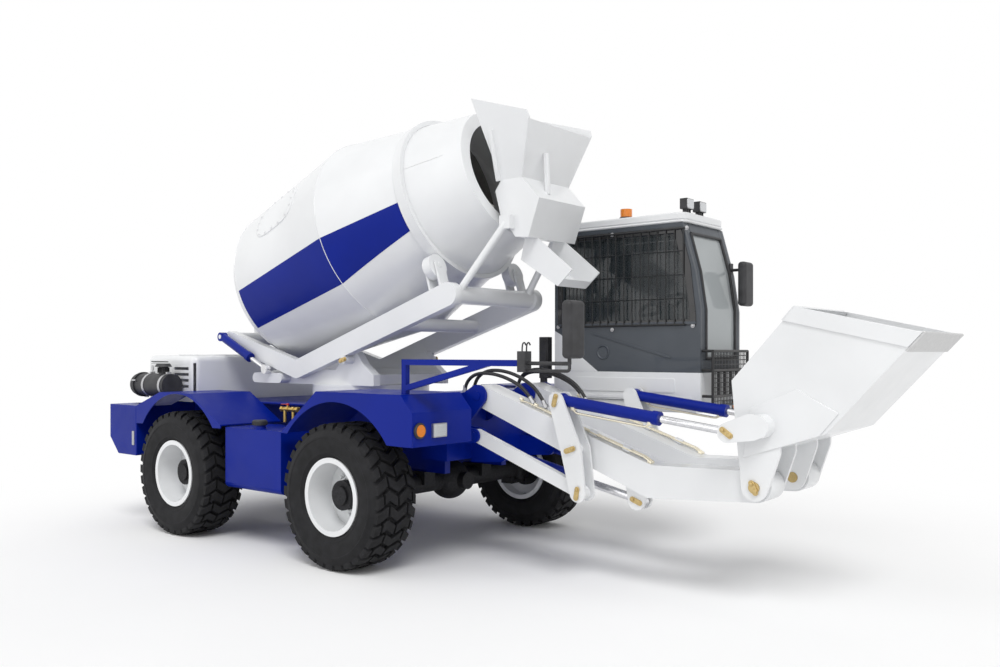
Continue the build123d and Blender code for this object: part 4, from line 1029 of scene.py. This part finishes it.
def mirror_bracket():
    """Clamp box, hooks and second stay of the right mirror at the rail's end."""
    end = at(1.650, -1.150, 1.522)
    shape = bmesh.new()
    box(shape, end + xz(0.028, 0.010), (0.060, 0.070, 0.130))
    stay = ((0.050, -0.045), (0.330, -0.045), (0.370, -0.045), (0.370, 0.0), (0.370, 0.050))
    sweep(shape, smooth_line([end + xz(*step) for step in stay], "stay_line"), 0.010, 12)
    hook = ((0.0, 0.070), (0.0, 0.110), (0.012, 0.128), (0.030, 0.128), (0.038, 0.112))
    for x in (0.012, 0.046):
        line = smooth_line([end + Vector((x, y, z)) for y, z in hook], "hook_line")
        sweep(shape, line, 0.005, 10)
    piece("mirror_bracket", shape, PLASTIC, "root", 0.003)


def hood_trim():
    """Raised panels and latches of the engine hood, and thin dark strips painted as the shade inside its slots."""
    white, dark, bright = (bmesh.new() for _ in range(3))
    for side in SIDES:
        flank = facing(at(0.0, side * 0.900, 0.0), (0, side, 0))
        panel = flank @ Matrix.Translation((2.940 * side, 1.330, 0.0))
        prism(white, rounded(0.340, 0.300, 0.030), panel, 0.006)
        for end in SIDES:
            latch = panel @ Matrix.Translation((end * 0.120, 0.110, 0.006))
            prism(bright, rounded(0.030, 0.050, 0.008), latch, 0.008)
        # Thin black strips are painted shade where the hood's slots are
        for row in range(3):
            slot = flank @ Matrix.Translation((2.945 * side, 1.500 - 0.022 * row, 0.0))
            prism(dark, rounded(0.300, 0.009, 0.004), slot, 0.003)
    top = 1.560
    for x in (-2.930, -2.590):
        prism(white, rounded(1.300, 0.270, 0.050), facing(at(x, 0.0, top), (0, 0, 1), (1, 0, 0)), 0.008)
    piece("hood_panels", white, WHITE, "root", 0.003)
    piece("hood_slot_painted_shade", dark, PLASTIC, "root")
    piece("hood_latches", bright, ZINC, "root", 0.002)


def air_cleaner_trim():
    """Bands, end cover clips and the ribbed rain cap."""
    y, z, r = -1.025, 1.285, 0.105
    black, bright = bmesh.new(), bmesh.new()
    for x in (-2.860, -2.580):
        inside, outside, half = r + 0.0005, r + 0.005, 0.016
        band = ((inside, -half), (outside, -half), (outside, half), (inside, half))
        lathe(bright, band, facing(at(x, y, z), (1, 0, 0)), 48)
        box(bright, at(x, y, z + r + 0.010), (0.024, 0.046, 0.016))
    end_cover = ((0, -0.012), (0.066, -0.012), (0.080, -0.004), (0.080, 0.001))
    lathe(black, end_cover, facing(at(-3.080, y, z), (1, 0, 0)), 40)
    for turn in (40, 160, 280):
        angle = radians(turn)
        clip = at(-3.000, y + (r + 0.013) * cos(angle), z + (r + 0.013) * sin(angle))
        box(bright, clip, (0.060, 0.014, 0.014), Matrix.Rotation(angle, 4, "X"))
    ribs(black, at(-2.670, y, z + 0.140), 20, 0.047, (0.012, 0.004, 0.050))
    piece("air_cleaner_ribs", black, PLASTIC, "root", 0.001)
    piece("air_cleaner_bands", bright, ZINC, "root", 0.001)


def tank_fittings():
    """Screw caps on both fillers and the water valves above the right one."""
    caps, brass, red = (bmesh.new() for _ in range(3))
    cap = ((0.0485, -0.022), (0.057, -0.022), (0.059, 0.012), (0.053, 0.020), (0.0, 0.022))
    for side in SIDES:
        neck = at(-1.060, side * 1.120, 1.020)
        lathe(caps, cap, facing(neck, (0, 0, 1)), 40)
        ribs(caps, neck + xz(0.0, -0.004), 24, 0.059, (0.006, 0.005, 0.030))
    valve = at(-1.020, -0.850, 1.115)
    rods = [
        # from x, to x, from z, to z, radius, sides
        (-0.110, 0.110, 0, 0, 0.016, 20),
        *((x - 0.013, x + 0.013, 0, 0, 0.024, 6) for x in (-0.100, -0.030, 0.045, 0.100)),
        *((x, x, 0, -0.110, 0.014, 16) for x in (0.045, -0.065)),
        (-0.030, -0.030, 0, 0.036, 0.008, 12),
    ]
    for x0, x1, z0, z1, radius, sides in rods:
        rod(brass, valve + xz(x0, z0), valve + xz(x1, z1), radius, sides)
    lever = valve + xz(-0.030, 0.036)
    box(red, lever + xz(-0.035, 0.004), (0.092, 0.018, 0.006))
    knob = ((0, -0.004), (0.013, -0.004), (0.013, 0.010), (0.009, 0.013), (0, 0.013))
    lathe(red, knob, facing(lever, (0, 0, 1)), 20)
    piece("filler_caps", caps, PLASTIC, "root", 0.001)
    piece("water_valves", brass, BRASS, "root", 0.001)
    piece("valve_lever", red, RED, "root", 0.002)


def nose_post():
    """Dark switch box on its stand behind the cab."""
    shape = bmesh.new()
    box(shape, at(0.535, 0.627, 1.545), (0.090, 0.066, 0.350))
    box(shape, at(0.525, 0.615, 1.328), (0.050, 0.040, 0.090))
    box(shape, at(0.535, 0.592, 1.560), (0.066, 0.008, 0.260))
    piece("switch_box", shape, PLASTIC, "root", 0.008)


def soften_plates():
    """Rounds the edges of the painted plates for the light to catch; the solids keep their shape."""
    widths = {"deck": 0.006, "rear_bumper": 0.010, "side_tanks": 0.014, "engine_hood": 0.010,
              "cab_plinth": 0.008, "loader_arms": 0.003, "bucket": 0.003, "drum_cradle": 0.003,
              "hopper": 0.002}
    for node, width in widths.items():
        joined = NODES[node].modifiers.new("joined", "WELD")
        joined.merge_threshold = 1e-5
        soften(NODES[node], width)


wheels()
drum_stripe()
drum_seams()
drum_hatch()
drum_inside()
retainers()
pipes()
hoses()
cutting_edge()
bucket_plates()
lamp_colours()
lamp_trim()
cab_walls()
cab_covers()
cab_trim()
cab_fittings()
driver_seat()
hood_trim()
air_cleaner_trim()
tank_fittings()
nose_post()
mirror_bracket()
hopper_ribs()
soften_plates()


# Camera, floor and light
camera = add_object("camera", bpy.data.cameras.new("camera"))
camera.location = at(*CAMERA_PLACE)
camera.rotation_euler = (radians(90), 0.0, radians(CAMERA_TURN))
camera.data.lens = CAMERA_LENS
camera.data.sensor_width = 36.0
camera.data.shift_y = CAMERA_SHIFT
bpy.context.scene.camera = camera

# The floor turns to plain white light away from the machine, as the photograph's background does
FLOOR_REACH = 60.0
FADE_FROM, FADE_TO = 3.0, 6.5
floor_mesh = bpy.data.meshes.new("floor")
floor_corners = [(x * FLOOR_REACH, y * FLOOR_REACH, 0) for x, y in ((-1, -1), (1, -1), (1, 1), (-1, 1))]
floor_mesh.from_pydata(floor_corners, [], [(0, 1, 2, 3)])
FLOOR_GREY = (0.97, 0.97, 0.97)
floor_made, floor_shader = material("floor", FLOOR_GREY, 0.0, 0.6, shine=0.0)
ramp(floor_shader, "Base Color", noise(floor_shader, 0.6, 3.0), ((0.3, 0.96), (0.7, 0.98)))
floor_glow = add_node(floor_shader, "Emission", Strength=1.0)
floor_place = add_node(floor_shader, "TexCoord")
floor_reach = add_node(floor_shader, "VectorMath")
floor_reach.operation = "LENGTH"
floor_fade = add_node(floor_shader, "MapRange", From_Min=FADE_FROM, From_Max=FADE_TO)
floor_fade.interpolation_type = "SMOOTHSTEP"
floor_mix = add_node(floor_shader, "MixShader")
floor_wires = (
    (floor_place.outputs["Object"], floor_reach.inputs[0]),
    (floor_reach.outputs["Value"], floor_fade.inputs["Value"]),
    (floor_fade.outputs["Result"], floor_mix.inputs["Fac"]),
    (floor_shader.outputs["BSDF"], floor_mix.inputs[1]),
    (floor_glow.outputs["Emission"], floor_mix.inputs[2]),
    (floor_mix.outputs["Shader"], floor_made.node_tree.nodes["Material Output"].inputs["Surface"]),
)
for source, target in floor_wires:
    join(source, target)
floor_mesh.materials.append(floor_made)
floor = add_object("floor", floor_mesh)

# The sky lights the machine dimly, and shows as full white to the camera, in reflections and through glass
SKY_LIGHT = 0.62
world = bpy.data.worlds.new("studio")
world.use_nodes = True
bpy.context.scene.world = world
sky = world.node_tree.nodes["Background"]
backdrop = add_node(sky, "Background")
for light, strength in ((sky, SKY_LIGHT), (backdrop, 1.0)):
    fill(light, Color=(1.0, 1.0, 1.0, 1.0), Strength=strength)
path = add_node(sky, "LightPath")
through, seen = (add_node(sky, "Math") for _ in range(2))
through.operation = seen.operation = "MAXIMUM"
choice = add_node(sky, "MixShader")
sky_wires = (
    (path.outputs["Is Glossy Ray"], through.inputs[0]),
    (path.outputs["Is Transmission Ray"], through.inputs[1]),
    (path.outputs["Is Camera Ray"], seen.inputs[0]),
    (through.outputs["Value"], seen.inputs[1]),
    (seen.outputs["Value"], choice.inputs["Fac"]),
    (sky.outputs["Background"], choice.inputs[1]),
    (backdrop.outputs["Background"], choice.inputs[2]),
    (choice.outputs["Shader"], world.node_tree.nodes["World Output"].inputs["Surface"]),
)
for source, target in sky_wires:
    join(source, target)

# name, energy, angle of softness, rotation
SUNS = (
    ("key", 1.35, 24.0, (38.0, -12.0, 62.0)),
    ("fill", 0.45, 60.0, (62.0, 0.0, -20.0)),
)
for name, energy, soft, turn in SUNS:
    lamp = bpy.data.lights.new(name, "SUN")
    lamp.energy = energy
    lamp.angle = radians(soft)
    lamp_object = add_object(name, lamp)
    lamp_object.rotation_euler = [radians(angle) for angle in turn]

bpy.context.scene.view_settings.view_transform = "Standard"
